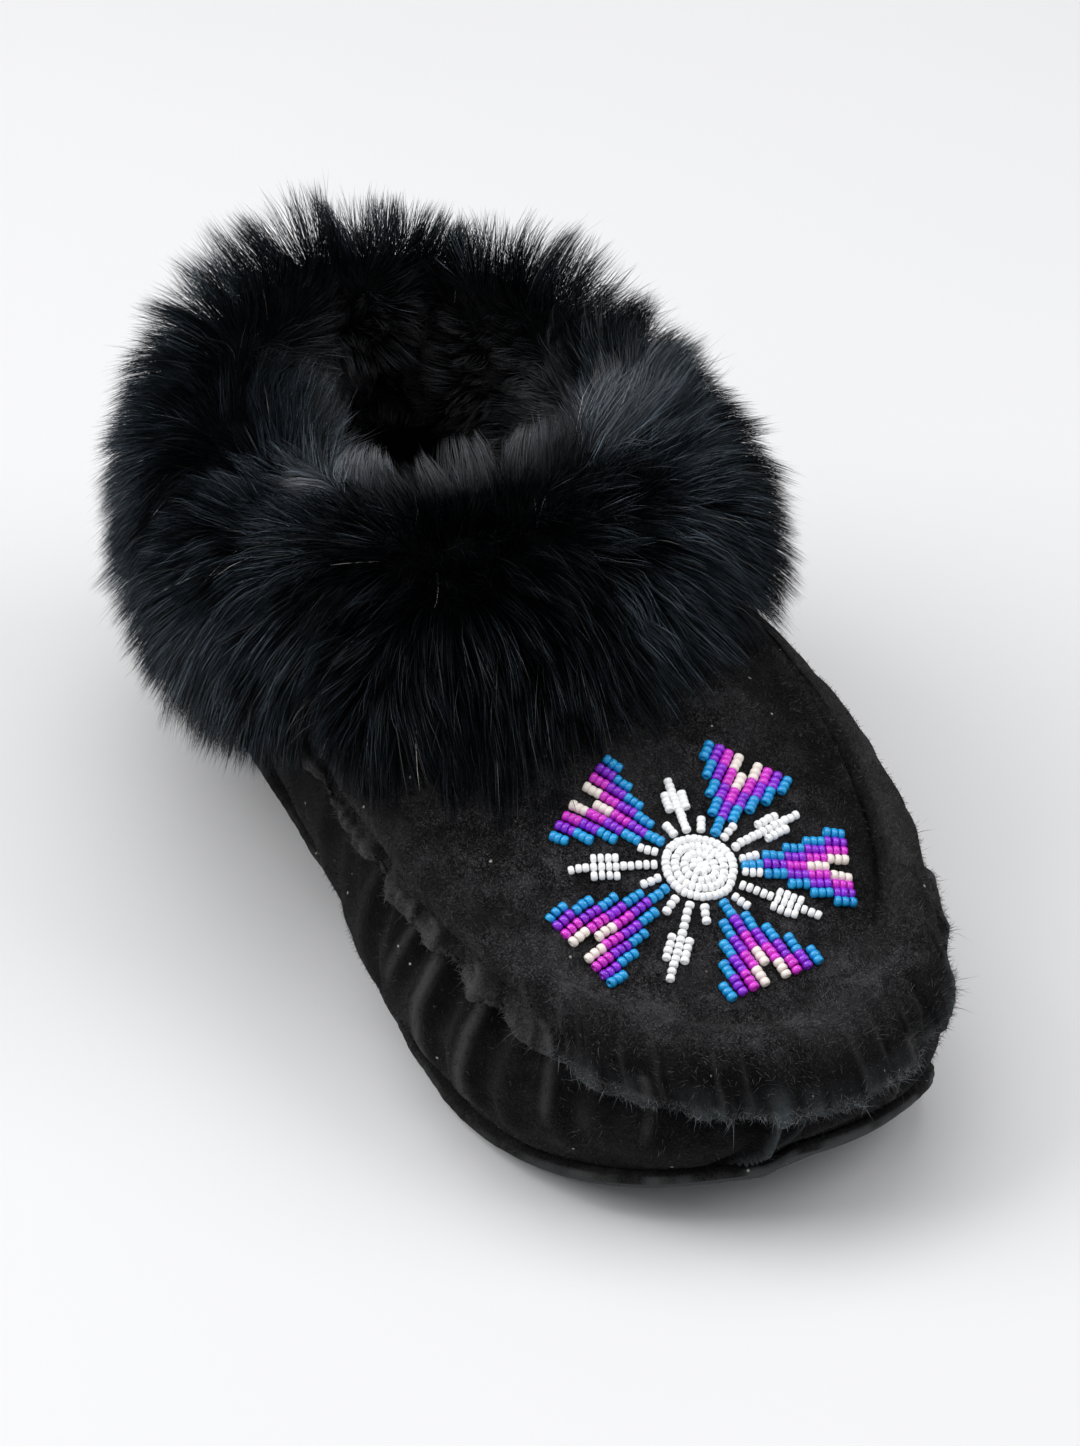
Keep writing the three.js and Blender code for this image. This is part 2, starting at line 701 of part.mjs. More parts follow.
const upperShell = buildUpper();
const upper = addPart('upper', toGeometry(upperShell), SUEDE);
addPart('sole', toGeometry(buildSole()), SOLE_SUEDE);
addPart('insole', toGeometry(buildInsole()), FLEECE);
addPart('fur_cuff', fromManifold(buildCuff(upperShell)), FUR);
const frame = rosetteFrame(upper);
addPart('bead_disc', toGeometry(buildDisc(upper, frame)), WHITE_BEADS);
for (const arm of ARMS) {
  const look = arm.chart === PETAL ? VIOLET_BEADS : WHITE_BEADS;
  addPart(arm.name, toGeometry(buildArm(upper, frame, arm)), look);
}

// The origin is the middle of the box round the shoe, on the floor
const box = new THREE.Box3().setFromObject(group);
const middle = box.getCenter(new THREE.Vector3());
for (const mesh of group.children) {
  mesh.geometry.translate(-middle.x, -middle.y, -box.min.z);
}

export default group;
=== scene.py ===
# A black suede slipper moccasin for the right foot, with a fur cuff and a beaded rosette: its looks.
# Shapes are worked out in millimetres, heel at x 0, from the sizes below; meshes are made in metres.
import math
from types import SimpleNamespace as Values

import bpy
import numpy as np
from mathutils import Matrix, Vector
from mathutils.bvhtree import BVHTree
from mathutils.kdtree import KDTree


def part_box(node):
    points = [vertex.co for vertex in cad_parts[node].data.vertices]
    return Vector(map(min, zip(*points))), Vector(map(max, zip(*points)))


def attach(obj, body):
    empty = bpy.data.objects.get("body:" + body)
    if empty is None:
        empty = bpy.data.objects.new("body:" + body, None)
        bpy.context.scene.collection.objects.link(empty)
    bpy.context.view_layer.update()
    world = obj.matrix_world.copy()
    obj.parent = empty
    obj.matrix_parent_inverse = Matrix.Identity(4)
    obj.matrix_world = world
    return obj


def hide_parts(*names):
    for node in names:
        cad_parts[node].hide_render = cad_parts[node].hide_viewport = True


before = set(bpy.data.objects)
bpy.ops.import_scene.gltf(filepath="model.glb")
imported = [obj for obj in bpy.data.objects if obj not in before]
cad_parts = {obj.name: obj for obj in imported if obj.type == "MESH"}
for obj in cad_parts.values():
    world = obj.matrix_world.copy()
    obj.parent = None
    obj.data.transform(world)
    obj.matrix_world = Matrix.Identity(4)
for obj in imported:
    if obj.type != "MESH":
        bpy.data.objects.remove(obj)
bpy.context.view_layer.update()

MM = 0.001
TAU = 2 * math.pi
UP = np.array([0.0, 0.0, 1.0])
TURN_STEP = TAU / 240
WAY_STEP = 0.04
TINY = 1e-9
LUMP_SPREAD = (0.7, 1.6)

# Sizes shared with the part
SOLE_LENGTH = 249.0
GAP = 0.3
SOLE_THICK = 4.5
HEEL_CURL = Values(until=0.05, lift=1.2)
ARCH = Values(start=0.32, until=0.54, lift=2.5)
TOE_SPRING = Values(start=0.74, lift=14.0, power=1.7)
WALL = 2.5
WALL_INSET = 3.0
FLANGE_OUT = 4.5
FLANGE_THICK = 2.2
ROLL_RISE = 4.5
ROLL_WIDTH = 10.0
ROLL_START = 1.03
SHORT_RIB = 28.0
SEAM_FADE = (0.30, 0.46)
SHOULDER = Values(rise=9.0, width=14.0)
INSOLE_INSET = WALL_INSET + WALL + 1.2
COLLAR = Values(back=12.0, front=120.0, half_width=39.0, roundness=0.9, lean=5.0)
CUFF_UPRIGHT = 0.55


def rows_of(table):
    """The rows of a table that is given by its columns."""
    columns = vars(table)
    return [Values(**dict(zip(columns, row))) for row in zip(*columns.values())]


def smooth_curve(places, values):
    """A smooth curve at rising places through values, which are numbers or arrays."""
    at = np.array(places, float)
    values = np.array(values, float)
    order = np.arange(len(at))
    before = np.maximum(order - 1, 0)
    after = np.minimum(order + 1, order[-1])
    spread = (1,) * (values.ndim - 1)
    slopes = (values[after] - values[before]) / (at[after] - at[before]).reshape(-1, *spread)

    def read(place):
        k = np.clip(np.searchsorted(at, place) - 1, 0, order[-1] - 1)
        span = at[k + 1] - at[k]
        s = np.clip((place - at[k]) / span, 0, 1)
        s = s.reshape(s.shape + spread)
        span = span.reshape(span.shape + spread)
        blend = s * s * (3 - 2 * s)
        leave = s * (1 - s) ** 2 * span * slopes[k]
        arrive = s * s * (s - 1) * span * slopes[k + 1]
        return values[k] + (values[k + 1] - values[k]) * blend + leave + arrive

    return read


def along_curve(places, values):
    """A smooth curve over places from heel (0) to toe (1), read by the angle of a rib."""
    return smooth_curve(np.arccos(1 - 2 * np.array(places)), values)


def side_curve(places, lateral, medial):
    lateral_curve = along_curve(places, lateral)
    medial_curve = along_curve(places, medial)
    return lambda ribs: np.where(ribs.lateral, lateral_curve(ribs.angle), medial_curve(ribs.angle))


class Ribs:
    """Cross-sections at turns round the shoe: heel 0, lateral side, toe half a turn, medial side."""

    def __init__(self, turn):
        self.turn = np.mod(turn, TAU)
        self.lateral = self.turn <= math.pi
        self.angle = np.where(self.lateral, self.turn, TAU - self.turn)
        self.along = (1 - np.cos(self.angle)) / 2


# Edge of the sole's lip, the seam at the top of the side wall, the collar and the cuff, from heel to toe
EDGE_PLACES = [0, 0.02, 0.07, 0.15, 0.28, 0.42, 0.56, 0.68, 0.78, 0.87, 0.94, 0.98, 1]
FORM_PLACES = [0, 0.20, 0.45, 0.75, 0.90, 1]
CREST_PLACES = [0, 0.08, 0.20, 0.45, 0.75, 0.90, 1]
sole_y = side_curve(
    EDGE_PLACES,
    lateral=[0, -18, -30, -36, -38, -41, -46, -49, -48, -41, -28, -11, 10],
    medial=[0, 18, 30, 35, 36, 38, 44, 50, 53, 51, 43, 30, 10])
seam_y = side_curve(
    EDGE_PLACES,
    lateral=[0, -19, -31, -38, -42, -45, -47, -47, -44, -37, -25, -9, 10],
    medial=[0, 19, 31, 37, 42, 48, 52, 54, 53, 49, 41, 29, 10])
seam_height = side_curve(
    EDGE_PLACES,
    lateral=[50, 50, 50, 50, 50, 50, 48, 46, 43, 39, 35, 33, 32],
    medial=[50, 50, 50, 50, 53, 56, 56, 54, 50, 44, 38, 34, 32])
collar_height = side_curve(FORM_PLACES, lateral=[98, 89, 86, 92, 97, 98], medial=[98, 96, 93, 95, 97, 98])
wall_bulge = side_curve(FORM_PLACES, lateral=[3, 4, 7, 9, 5, 2], medial=[3, 3, 3, 2, 2, 2])
rib_rise = along_curve(FORM_PLACES, [1.00, 1.00, 0.95, 1.00, 1.20, 1.35])
flap_length = side_curve(
    FORM_PLACES, lateral=[1.00, 0.98, 0.92, 0.88, 0.77, 0.68], medial=[1.00, 1.00, 0.95, 0.82, 0.72, 0.68])
fur_depth = side_curve(
    FORM_PLACES, lateral=[0.95, 0.98, 1.00, 0.96, 0.94, 0.90], medial=[0.95, 0.91, 0.80, 0.78, 0.84, 0.90])
roll_height = side_curve(
    CREST_PLACES,
    lateral=[1.12, 1.08, 1.02, 0.92, 0.74, 0.78, 0.88],
    medial=[1.12, 0.80, 1.06, 1.10, 0.98, 0.90, 0.88])


def smooth_step(start, end, value):
    s = np.clip((value - start) / (end - start), 0, 1)
    return s * s * (3 - 2 * s)


def window(value, low, high, soft):
    return smooth_step(low, low + soft, value) * (1 - smooth_step(high, high + soft, value))


def bell(distance, width=1.0):
    return np.exp(-(distance / width) ** 2)


def unit(vectors):
    return vectors / np.maximum(np.linalg.norm(vectors, axis=-1, keepdims=True), TINY)


def pack3(x, y, z):
    return np.stack(np.broadcast_arrays(x, y, z), axis=-1).astype(float)


def soft_noise(points, size, seed, waves=7):
    """Smooth seeded noise, about -1 to 1, with lumps of about the given size in millimetres."""
    draw = np.random.default_rng(seed)
    total = np.zeros(points.shape[:-1])
    for _ in range(waves):
        direction = unit(draw.normal(size=3))
        length = size * draw.uniform(*LUMP_SPREAD)
        total += np.sin(points @ direction * TAU / length + draw.uniform(0, TAU))
    return total / math.sqrt(waves)


def noise_sum(points, layers):
    """Soft noise in layers, each an amount, a size and a seed."""
    return sum(amount * soft_noise(points, size, seed) for amount, size, seed in layers)


def sole_lift(x):
    """Height of the underside above the floor."""
    along = np.clip(x / SOLE_LENGTH, 0, 1)
    heel = HEEL_CURL.lift * np.clip(1 - along / HEEL_CURL.until, 0, 1) ** 2
    arch_share = np.clip((along - ARCH.start) / (ARCH.until - ARCH.start), 0, 1)
    arch = ARCH.lift * np.sin(math.pi * arch_share) ** 2
    toe_share = np.clip((along - TOE_SPRING.start) / (1 - TOE_SPRING.start), 0, 1)
    return heel + arch + TOE_SPRING.lift * toe_share ** TOE_SPRING.power


def sole_plan(turn):
    ribs = Ribs(turn)
    return pack3(SOLE_LENGTH * ribs.along, sole_y(ribs), 0)


# Where the heel and the middle of the sole lie in the frame
sole_low, sole_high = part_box("sole")
plan_sides = sole_plan(np.arange(0, TAU, TURN_STEP))[:, 1]
HEEL_BACK = sole_low.x / MM
SIDE_SHIFT = (sole_low.y + sole_high.y) / 2 / MM - (plan_sides.min() + plan_sides.max()) / 2


def outward(turn):
    """Plan directions out of the shoe."""
    run = sole_plan(turn + TURN_STEP) - sole_plan(turn - TURN_STEP)
    return unit(np.cross(run, UP))


def sole_level(turn, inset, height):
    """The edge of the sole moved in, at a height above the underside."""
    point = sole_plan(turn) - outward(turn) * np.asarray(inset)[..., None]
    point[..., 2] = sole_lift(point[..., 0]) + height
    return point


def seam_loop(turn):
    ribs = Ribs(turn)
    return pack3(SOLE_LENGTH * ribs.along, seam_y(ribs), seam_height(ribs))


def collar_loop(turn):
    ribs = Ribs(turn)
    x = COLLAR.back + (COLLAR.front - COLLAR.back) * ribs.along
    half = COLLAR.half_width * np.sin(ribs.angle) ** COLLAR.roundness
    y = COLLAR.lean * ribs.along + np.where(ribs.lateral, -half, half)
    return pack3(x, y, collar_height(ribs))


def seam_strength(turn):
    """How much of the flange and roll shows: all of it at the front, none behind the ankle."""
    return smooth_step(*SEAM_FADE, Ribs(turn).along)


def upper_point(turn, way):
    """A point of the plain upper: way runs 0 to 1 up the wall, 1 to 2 from the seam to the collar."""
    turn, way = np.broadcast_arrays(np.asarray(turn, float), np.asarray(way, float))
    ribs = Ribs(turn)
    feather = sole_level(turn, np.full(turn.shape, WALL_INSET), SOLE_THICK + GAP)
    seam = seam_loop(turn)
    collar = collar_loop(turn)
    low = np.clip(way, 0, 1)
    bulge = wall_bulge(ribs) * np.sin(math.pi * low)
    wall = feather + (seam - feather) * low[..., None] + outward(turn) * bulge[..., None]
    across = np.clip(way - 1, 0, 1)
    vamp = seam + (collar - seam) * across[..., None]
    inward = np.hypot(vamp[..., 0] - seam[..., 0], vamp[..., 1] - seam[..., 1])
    near = 1 - np.minimum(1, inward / SHOULDER.width)
    shoulder = SHOULDER.rise * seam_strength(turn)
    rise = (collar[..., 2] - seam[..., 2] - shoulder) * across ** rib_rise(ribs.angle)
    vamp[..., 2] = seam[..., 2] + shoulder * (1 - near * near) + rise
    return np.where((way <= 1)[..., None], wall, vamp)


def upper_normal(turn, way):
    turn, way = np.broadcast_arrays(np.asarray(turn, float), np.asarray(way, float))
    round_run = upper_point(turn + TURN_STEP, way) - upper_point(turn - TURN_STEP, way)
    above = upper_point(turn, np.minimum(2, way + WAY_STEP))
    below = upper_point(turn, np.maximum(0, way - WAY_STEP))
    return unit(np.cross(round_run, above - below))


# Grids of points, ring by ring: their columns close round the shoe
def grid_runs(grid):
    """How a grid runs along its rows and from row to row."""
    return np.roll(grid, -1, axis=1) - np.roll(grid, 1, axis=1), np.gradient(grid, axis=0)


def grid_normals(grid):
    return unit(np.cross(*grid_runs(grid)))


def cell_sizes(grid):
    """How far each cell of a grid reaches from row to row and along its row."""
    rise = np.linalg.norm(np.diff(grid, axis=0), axis=-1)
    run = np.linalg.norm(np.roll(grid, -1, axis=1) - grid, axis=-1)[:-1]
    return rise, run


def pick_cells(weight, count, draw):
    """Rows and columns of cells drawn by weight, with two random shares each."""
    cells = draw.choice(weight.size, size=count, p=(weight / weight.sum()).ravel())
    row, column = np.divmod(cells, weight.shape[1])
    return row, column, draw.uniform(size=count), draw.uniform(size=count)


def blend_at(grid, row, column, row_share, column_share):
    """Values inside the cells of a grid."""
    after = (column + 1) % grid.shape[1]
    across = column_share[:, None]
    low = grid[row, column] * (1 - across) + grid[row, after] * across
    high = grid[row + 1, column] * (1 - across) + grid[row + 1, after] * across
    return low * (1 - row_share)[:, None] + high * row_share[:, None]


def grid_faces(rows, columns, closed_rows=False):
    """Four-cornered faces over a grid."""
    row = np.arange(rows if closed_rows else rows - 1)[:, None]
    column = np.arange(columns)[None, :]
    here = row * columns
    above = (row + 1) % rows * columns
    after = (column + 1) % columns
    return np.stack([here + column, here + after, above + after, above + column], axis=-1).reshape(-1, 4)


def cover_faces(start, columns, facing_up):
    """Strips across a ring from the lateral to the medial side, as fours and threes."""
    half = columns // 2
    fours = []
    threes = []
    for station in range(half):
        a = start + station
        b = start + station + 1
        c = start + (columns - station - 1) % columns
        d = start + (columns - station) % columns
        if station == 0:
            threes.append([a, b, c])
        elif station == half - 1:
            threes.append([a, b, d])
        else:
            fours.append([a, b, c, d])
    order = 1 if facing_up else -1
    return [np.array(fours)[:, ::order], np.array(threes)[:, ::order]]


def add_object(name, data):
    thing = bpy.data.objects.new(name, data)
    bpy.context.scene.collection.objects.link(thing)
    return thing


def make_piece(name, points, faces, materials, replaced=(), face_material=None):
    """A mesh piece from points in millimetres; it rides on the shoe."""
    placed = (np.asarray(points, float).reshape(-1, 3) + [HEEL_BACK, SIDE_SHIFT, 0]) * MM
    corners = np.concatenate([block.ravel() for block in faces])
    sizes = np.concatenate([np.full(len(block), block.shape[1]) for block in faces])
    starts = np.concatenate([[0], np.cumsum(sizes)[:-1]])
    mesh = bpy.data.meshes.new(name)
    mesh.vertices.add(len(placed))
    mesh.vertices.foreach_set("co", placed.astype(np.float32).ravel())
    mesh.loops.add(len(corners))
    mesh.loops.foreach_set("vertex_index", corners.astype(np.int32))
    mesh.polygons.add(len(sizes))
    mesh.polygons.foreach_set("loop_start", starts.astype(np.int32))
    mesh.polygons.foreach_set("use_smooth", np.ones(len(sizes), bool))
    for material in materials:
        mesh.materials.append(material)
    if face_material is not None:
        mesh.polygons.foreach_set("material_index", np.asarray(face_material, np.int32))
    mesh.update()
    mesh.validate()
    piece = add_object(name, mesh)
    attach(piece, "root")
    if replaced:
        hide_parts(*replaced)
    return piece


def lidded_piece(name, grid, material, replaced):
    """A piece from rings, closed underneath and on top."""
    rows, columns = grid.shape[:2]
    faces = [grid_faces(rows, columns), *cover_faces(0, columns, False),
             *cover_faces((rows - 1) * columns, columns, True)]
    return make_piece(name, grid, faces, [material], replaced)


def set_point_value(piece, name, values):
    layer = piece.data.attributes.new(name, "FLOAT", "POINT")
    layer.data.foreach_set("value", np.asarray(values, np.float32).ravel())


# Node helpers for the materials
def feed(tree, socket, value):
    """Links a socket to another, or sets its number or colour."""
    if isinstance(value, bpy.types.NodeSocket):
        tree.links.new(value, socket)
    else:
        socket.default_value = (*value, 1) if isinstance(value, tuple) else value


def add_node(tree, kind, inputs, **settings):
    node = tree.nodes.new("ShaderNode" + kind)
    for key, value in settings.items():
        setattr(node, key, value)
    for key, value in inputs.items():
        feed(tree, node.inputs[key], value)
    return node


def new_material(name):
    material = bpy.data.materials.new(name)
    material.use_nodes = True
    return material, material.node_tree


def dress(tree, inputs):
    """Sets or links inputs of the material's shader."""
    for key, value in inputs.items():
        feed(tree, tree.nodes["Principled BSDF"].inputs[key], value)


def noise(tree, size, detail=3.0, roughness=0.55):
    place = add_node(tree, "TexCoord", {}).outputs["Object"]
    inputs = {"Vector": place, "Scale": 1 / (size * MM), "Detail": detail, "Roughness": roughness}
    return add_node(tree, "TexNoise", inputs).outputs["Fac"]


def mix_colour(tree, factor, first, second):
    inputs = {0: factor, 6: first, 7: second}
    return add_node(tree, "Mix", inputs, data_type="RGBA").outputs[2]


def maths(tree, operation, first, second):
    return add_node(tree, "Math", {0: first, 1: second}, operation=operation).outputs[0]


def range_map(tree, value, low, high, most=1.0):
    inputs = {"Value": value, "From Min": low, "From Max": high, "To Max": most}
    return add_node(tree, "MapRange", inputs).outputs["Result"]


def bumps(tree, layers):
    """Normals from layers of relief, each a height, a depth in millimetres and a strength."""
    normal = None
    for height, depth, strength in layers:
        inputs = {"Height": height, "Distance": depth * MM, "Strength": strength}
        if normal is not None:
            inputs["Normal"] = normal
        normal = add_node(tree, "Bump", inputs).outputs["Normal"]
    return normal


def speck_mask(tree, spacing, speck, share, core=0.6):
    """Small round specks on a share of the cells of a scattered pattern."""
    place = add_node(tree, "TexCoord", {}).outputs["Object"]
    cells = add_node(tree, "TexVoronoi", {"Vector": place, "Scale": 1 / (spacing * MM)})
    inside = range_map(tree, cells.outputs["Distance"], speck / spacing, core * speck / spacing)
    pick = add_node(tree, "SeparateColor", {"Color": cells.outputs["Color"]}).outputs[0]
    return maths(tree, "MULTIPLY", inside, maths(tree, "GREATER_THAN", pick, 1 - share))


def attribute(tree, name):
    return add_node(tree, "Attribute", {}, attribute_name=name).outputs["Fac"]


LINT_SPECK = (0.40, 0.37, 0.33)


def suede_material(name, dark, light, lint, fray, rub):
    """Brushed black suede: fine grain, patches where the nap lies over, lint, dust and a frayed edge; its
    attributes add worn edges, painted shade and painted highlights.
    """
    material, tree = new_material(name)
    patch = noise(tree, size=7.5, detail=4, roughness=0.6)
    grain = noise(tree, size=1.1, detail=4, roughness=0.72)
    fibre = noise(tree, size=0.42, detail=2, roughness=0.6)
    broad = noise(tree, size=26, detail=2)
    colour = mix_colour(tree, range_map(tree, grain, 0.41, 0.59), dark, light)
    layers = [
        (range_map(tree, fibre, 0.53, 0.68, most=0.8), lint),
        (range_map(tree, patch, 0.54, 0.36, most=0.72), dark),
        (range_map(tree, patch, 0.54, 0.70, most=0.30), lint),
        (range_map(tree, broad, 0.45, 0.70, most=0.14), lint),
        (attribute(tree, "painted_shade"), dark),
        (attribute(tree, "rub"), rub),
        (attribute(tree, "fray"), fray),
        (speck_mask(tree, spacing=4.6, speck=0.42, share=0.30), LINT_SPECK),
    ]
    for amount, over in layers:
        colour = mix_colour(tree, amount, colour, over)
    dress(tree, {
        "Base Color": colour,
        "Normal": bumps(tree, [(patch, 0.9, 0.5), (grain, 0.6, 0.8), (fibre, 0.25, 0.8)]),
        "Roughness": 0.95, "Specular IOR Level": 0.06,
        "Sheen Weight": 0.05, "Sheen Roughness": 0.55, "Sheen Tint": (0.62, 0.60, 0.60),
    })
    return material


def fleece_material(name, dark, light):
    material, tree = new_material(name)
    curl = noise(tree, size=2.8, detail=4, roughness=0.65)
    fine = noise(tree, size=0.7)
    dress(tree, {
        "Base Color": mix_colour(tree, range_map(tree, curl, 0.35, 0.7), dark, light),
        "Normal": bumps(tree, [(curl, 1.2, 0.8), (fine, 0.4, 0.6)]),
        "Roughness": 1.0, "Specular IOR Level": 0.1,
    })
    return material


def uneven_colour(tree, colour, darker=0.6, lighter=1.4):
    """The colour, darker and lighter in patches."""
    tone = range_map(tree, noise(tree, size=4.0, detail=2), 0.35, 0.65)
    dark, light = (tuple(share * part for part in colour) for share in (darker, lighter))
    return mix_colour(tree, tone, dark, light)


def hair_material(name, colour, roughness, specular):
    material, tree = new_material(name)
    dress(tree, {"Base Color": uneven_colour(tree, colour), "Roughness": roughness,
                 "Specular IOR Level": specular})
    return material


FUR_GLOSS_TINT = (0.62, 0.81, 1.0)


def fur_material(name, colour, lip_colour, roughness):
    """Hair painted lighter by the amount in its lip attribute, as painted light, and shining by its gloss
    attribute.
    """
    material, tree = new_material(name)
    dress(tree, {
        "Base Color": mix_colour(tree, attribute(tree, "lip"), uneven_colour(tree, colour), lip_colour),
        "Specular IOR Level": attribute(tree, "gloss"), "Specular Tint": FUR_GLOSS_TINT,
        "Roughness": roughness,
    })
    return material


def bead_material(name, colour, deep, roughness=0.16, clear=0.5, painted_glow=0.0):
    """Glass seed bead: a little darker in places, with a clear gloss and a painted glow of the given
    strength.
    """
    material, tree = new_material(name)
    tone = range_map(tree, noise(tree, size=1.7, detail=2), 0.3, 0.7)
    dress(tree, {
        "Base Color": mix_colour(tree, tone, deep, colour), "Roughness": roughness, "Specular IOR Level": 0.5,
        "Coat Weight": clear, "Coat Roughness": 0.06, "Emission Color": colour, "Emission Strength": painted_glow,
    })
    return material


SUEDE = suede_material(
    "suede_black", dark=(0.0012, 0.0013, 0.0016), light=(0.0190, 0.0183, 0.0198), lint=(0.088, 0.084, 0.089),
    fray=(0.060, 0.070, 0.075), rub=(0.082, 0.078, 0.078))
SOLE_SUEDE = suede_material(
    "sole_suede", dark=(0.004, 0.004, 0.004), light=(0.018, 0.018, 0.018), lint=(0.050, 0.048, 0.046),
    fray=(0.080, 0.086, 0.088), rub=(0.060, 0.058, 0.056))
FLEECE = fleece_material("fleece_black", dark=(0.004, 0.004, 0.004), light=(0.014, 0.0135, 0.013))

# Upper: rings from the sole up the wall, over the flange and the roll, along the vamp to the collar
RING = 720
TOE_CROWD = 0.45
even_turns = np.arange(RING) * TAU / RING
turns = even_turns + TOE_CROWD * np.sin(even_turns)
ring_ribs = Ribs(turns)
strength = seam_strength(turns)
ring_outward = outward(turns)
seam_ring = seam_loop(turns)
seam_arc = np.concatenate([[0], np.cumsum(np.linalg.norm(np.diff(seam_ring, axis=0), axis=1))])
SEAM_ROUND = seam_arc[-1] + np.linalg.norm(seam_ring[0] - seam_ring[-1])
rib_reach = np.maximum(np.linalg.norm((seam_ring - collar_loop(turns))[:, :2], axis=1), SHORT_RIB)

WALL_ROWS = np.linspace(0, 0.94, 26)
FLANGE_ROWS = Values(
    way=[0.950, 0.962, 0.972, 0.980, 0.986, 0.990, 0.995, 1.000],
    out=[0.04, 0.30, 0.64, 0.90, 1.01, 0.94, 1.01, 0.93],
    up=[-0.10, 0.02, 0.12, 0.20, 0.36, 0.54, 0.72, 0.94],
)
# From the flange's edge up to the roll: a ledge that sinks at the sides and swells at the toe
LEDGE_SHARES = [0.22, 0.48, 0.76]
LEDGE = Values(sink=1.1, swell=0.5)
# At the toe the face of the roll comes out over the flange
TOE_FACE = Values(along=(0.80, 0.97), out=3.2, fade=0.5)
ROLL_SHARES = np.linspace(0.03, 1, 15)
roll_profile = smooth_curve([0, 0.18, 0.45, 0.8, 1], [0.55, 0.85, 1.0, 0.5, 0.1])
VAMP_SHARES = np.arange(1, 33) / 32
VAMP_CROWD = 1.4
INNER_WAYS = np.linspace(2, 0, 11)
toe_face = smooth_step(*TOE_FACE.along, ring_ribs.along)


def roll_way(share):
    return ROLL_START + ROLL_WIDTH * share / rib_reach


def flange_ring(row):
    point = upper_point(turns, row.way)
    point += ring_outward * (FLANGE_OUT * row.out * strength)[:, None]
    point[:, 2] += FLANGE_THICK * row.up * strength
    return point


def roll_ring(share):
    way = roll_way(share)
    lift = ROLL_RISE * roll_profile(share) * strength
    face = TOE_FACE.out * toe_face * max(0, 1 - share / TOE_FACE.fade) ** 2
    return upper_point(turns, way) + upper_normal(turns, way) * lift[:, None] + ring_outward * face[:, None]


flange_rows = rows_of(FLANGE_ROWS)
flange_top = flange_ring(flange_rows[-1])
roll_foot = roll_ring(ROLL_SHARES[0])
ledge_depth = (LEDGE.swell * toe_face - LEDGE.sink * (1 - toe_face)) * strength


def ledge_ring(share):
    depth = ledge_depth * math.sin(math.pi * share)
    return flange_top + (roll_foot - flange_top) * share + unit(ring_outward + UP) * depth[:, None]


vamp_start = roll_way(1)
rings = [(upper_point(turns, way), way) for way in WALL_ROWS]
FIRST_FLANGE = len(rings)
rings += [(flange_ring(row), row.way) for row in flange_rows]
FIRST_LEDGE = len(rings)
rings += [(ledge_ring(share), 1 + (roll_way(ROLL_SHARES[0]) - 1) * share) for share in LEDGE_SHARES]
FIRST_ROLL = len(rings)
rings += [(roll_ring(share), roll_way(share)) for share in ROLL_SHARES]
FIRST_VAMP = len(rings)
for share in VAMP_SHARES:
    way = vamp_start + (2 - vamp_start) * share ** VAMP_CROWD
    rings.append((upper_point(turns, way), way))
outer = np.array([points for points, _ in rings])
outer_way = np.array([np.broadcast_to(way, RING) for _, way in rings])
normals = grid_normals(outer)
push = np.zeros(outer.shape[:2])
rub = np.zeros(outer.shape[:2])

# Folds down the side wall, by place along the shoe: each a soft trough with a ridge on either side
WALL_FOLDS = Values(
    side=["lateral"] * 7 + ["medial"] * 5,
    x=[128, 157, 173, 187, 202, 221, 237, 243, 228, 205, 182, 150],
    depth=[1.2, 2.1, 1.3, 2.3, 2.2, 1.7, 1.2, 1.6, 1.3, 1.4, 1.1, 0.9],
    width=[6.0, 4.5, 3.6, 4.2, 3.8, 3.4, 3.2, 3.6, 4.0, 4.2, 4.8, 5.5],
    tilt=[8, 7, -5, 4, 3, 5, 0, -3, -4, -5, -6, -6],
    low=[0.15, 0.20, 0.45, 0.18, 0.15, 0.35, 0.45, 0.20, 0.25, 0.25, 0.30, 0.20],
)
FOLD = Values(pivot=0.6, ridge=0.45, ridge_aside=1.7, top=1.0, soft=0.25, end=1.03)
FOLD_HIGHLIGHT = Values(aside=-1.5, width=0.30, start=165, front=0.30, back=0.08)


def arc_at(side, x):
    angle = math.acos(1 - 2 * min(1.0, x / SOLE_LENGTH))
    turn = angle if side == "lateral" else TAU - angle
    return np.interp(turn, np.append(turns, TAU), np.append(seam_arc, SEAM_ROUND))


def arc_gap(place):
    """Distance round the seam from a place on it, the short way."""
    gap = seam_arc - arc_at(place.side, place.x)
    return (gap + SEAM_ROUND / 2) % SEAM_ROUND - SEAM_ROUND / 2


for fold in rows_of(WALL_FOLDS):
    across = (arc_gap(fold) + fold.tilt * (outer_way - FOLD.pivot)) / fold.width
    ridges = bell(across - FOLD.ridge_aside) + bell(across + FOLD.ridge_aside)
    reach = window(outer_way, fold.low, FOLD.top, FOLD.soft) * (outer_way < FOLD.end)
    push += fold.depth * (FOLD.ridge * ridges - bell(across)) * reach
    # A thin painted highlight runs along one ridge of each fold, stronger on the folds toward the toe
    fold_highlight = FOLD_HIGHLIGHT.front if fold.x > FOLD_HIGHLIGHT.start else FOLD_HIGHLIGHT.back
    rub += fold_highlight * fold.depth * bell(across - FOLD_HIGHLIGHT.aside, FOLD_HIGHLIGHT.width) * reach

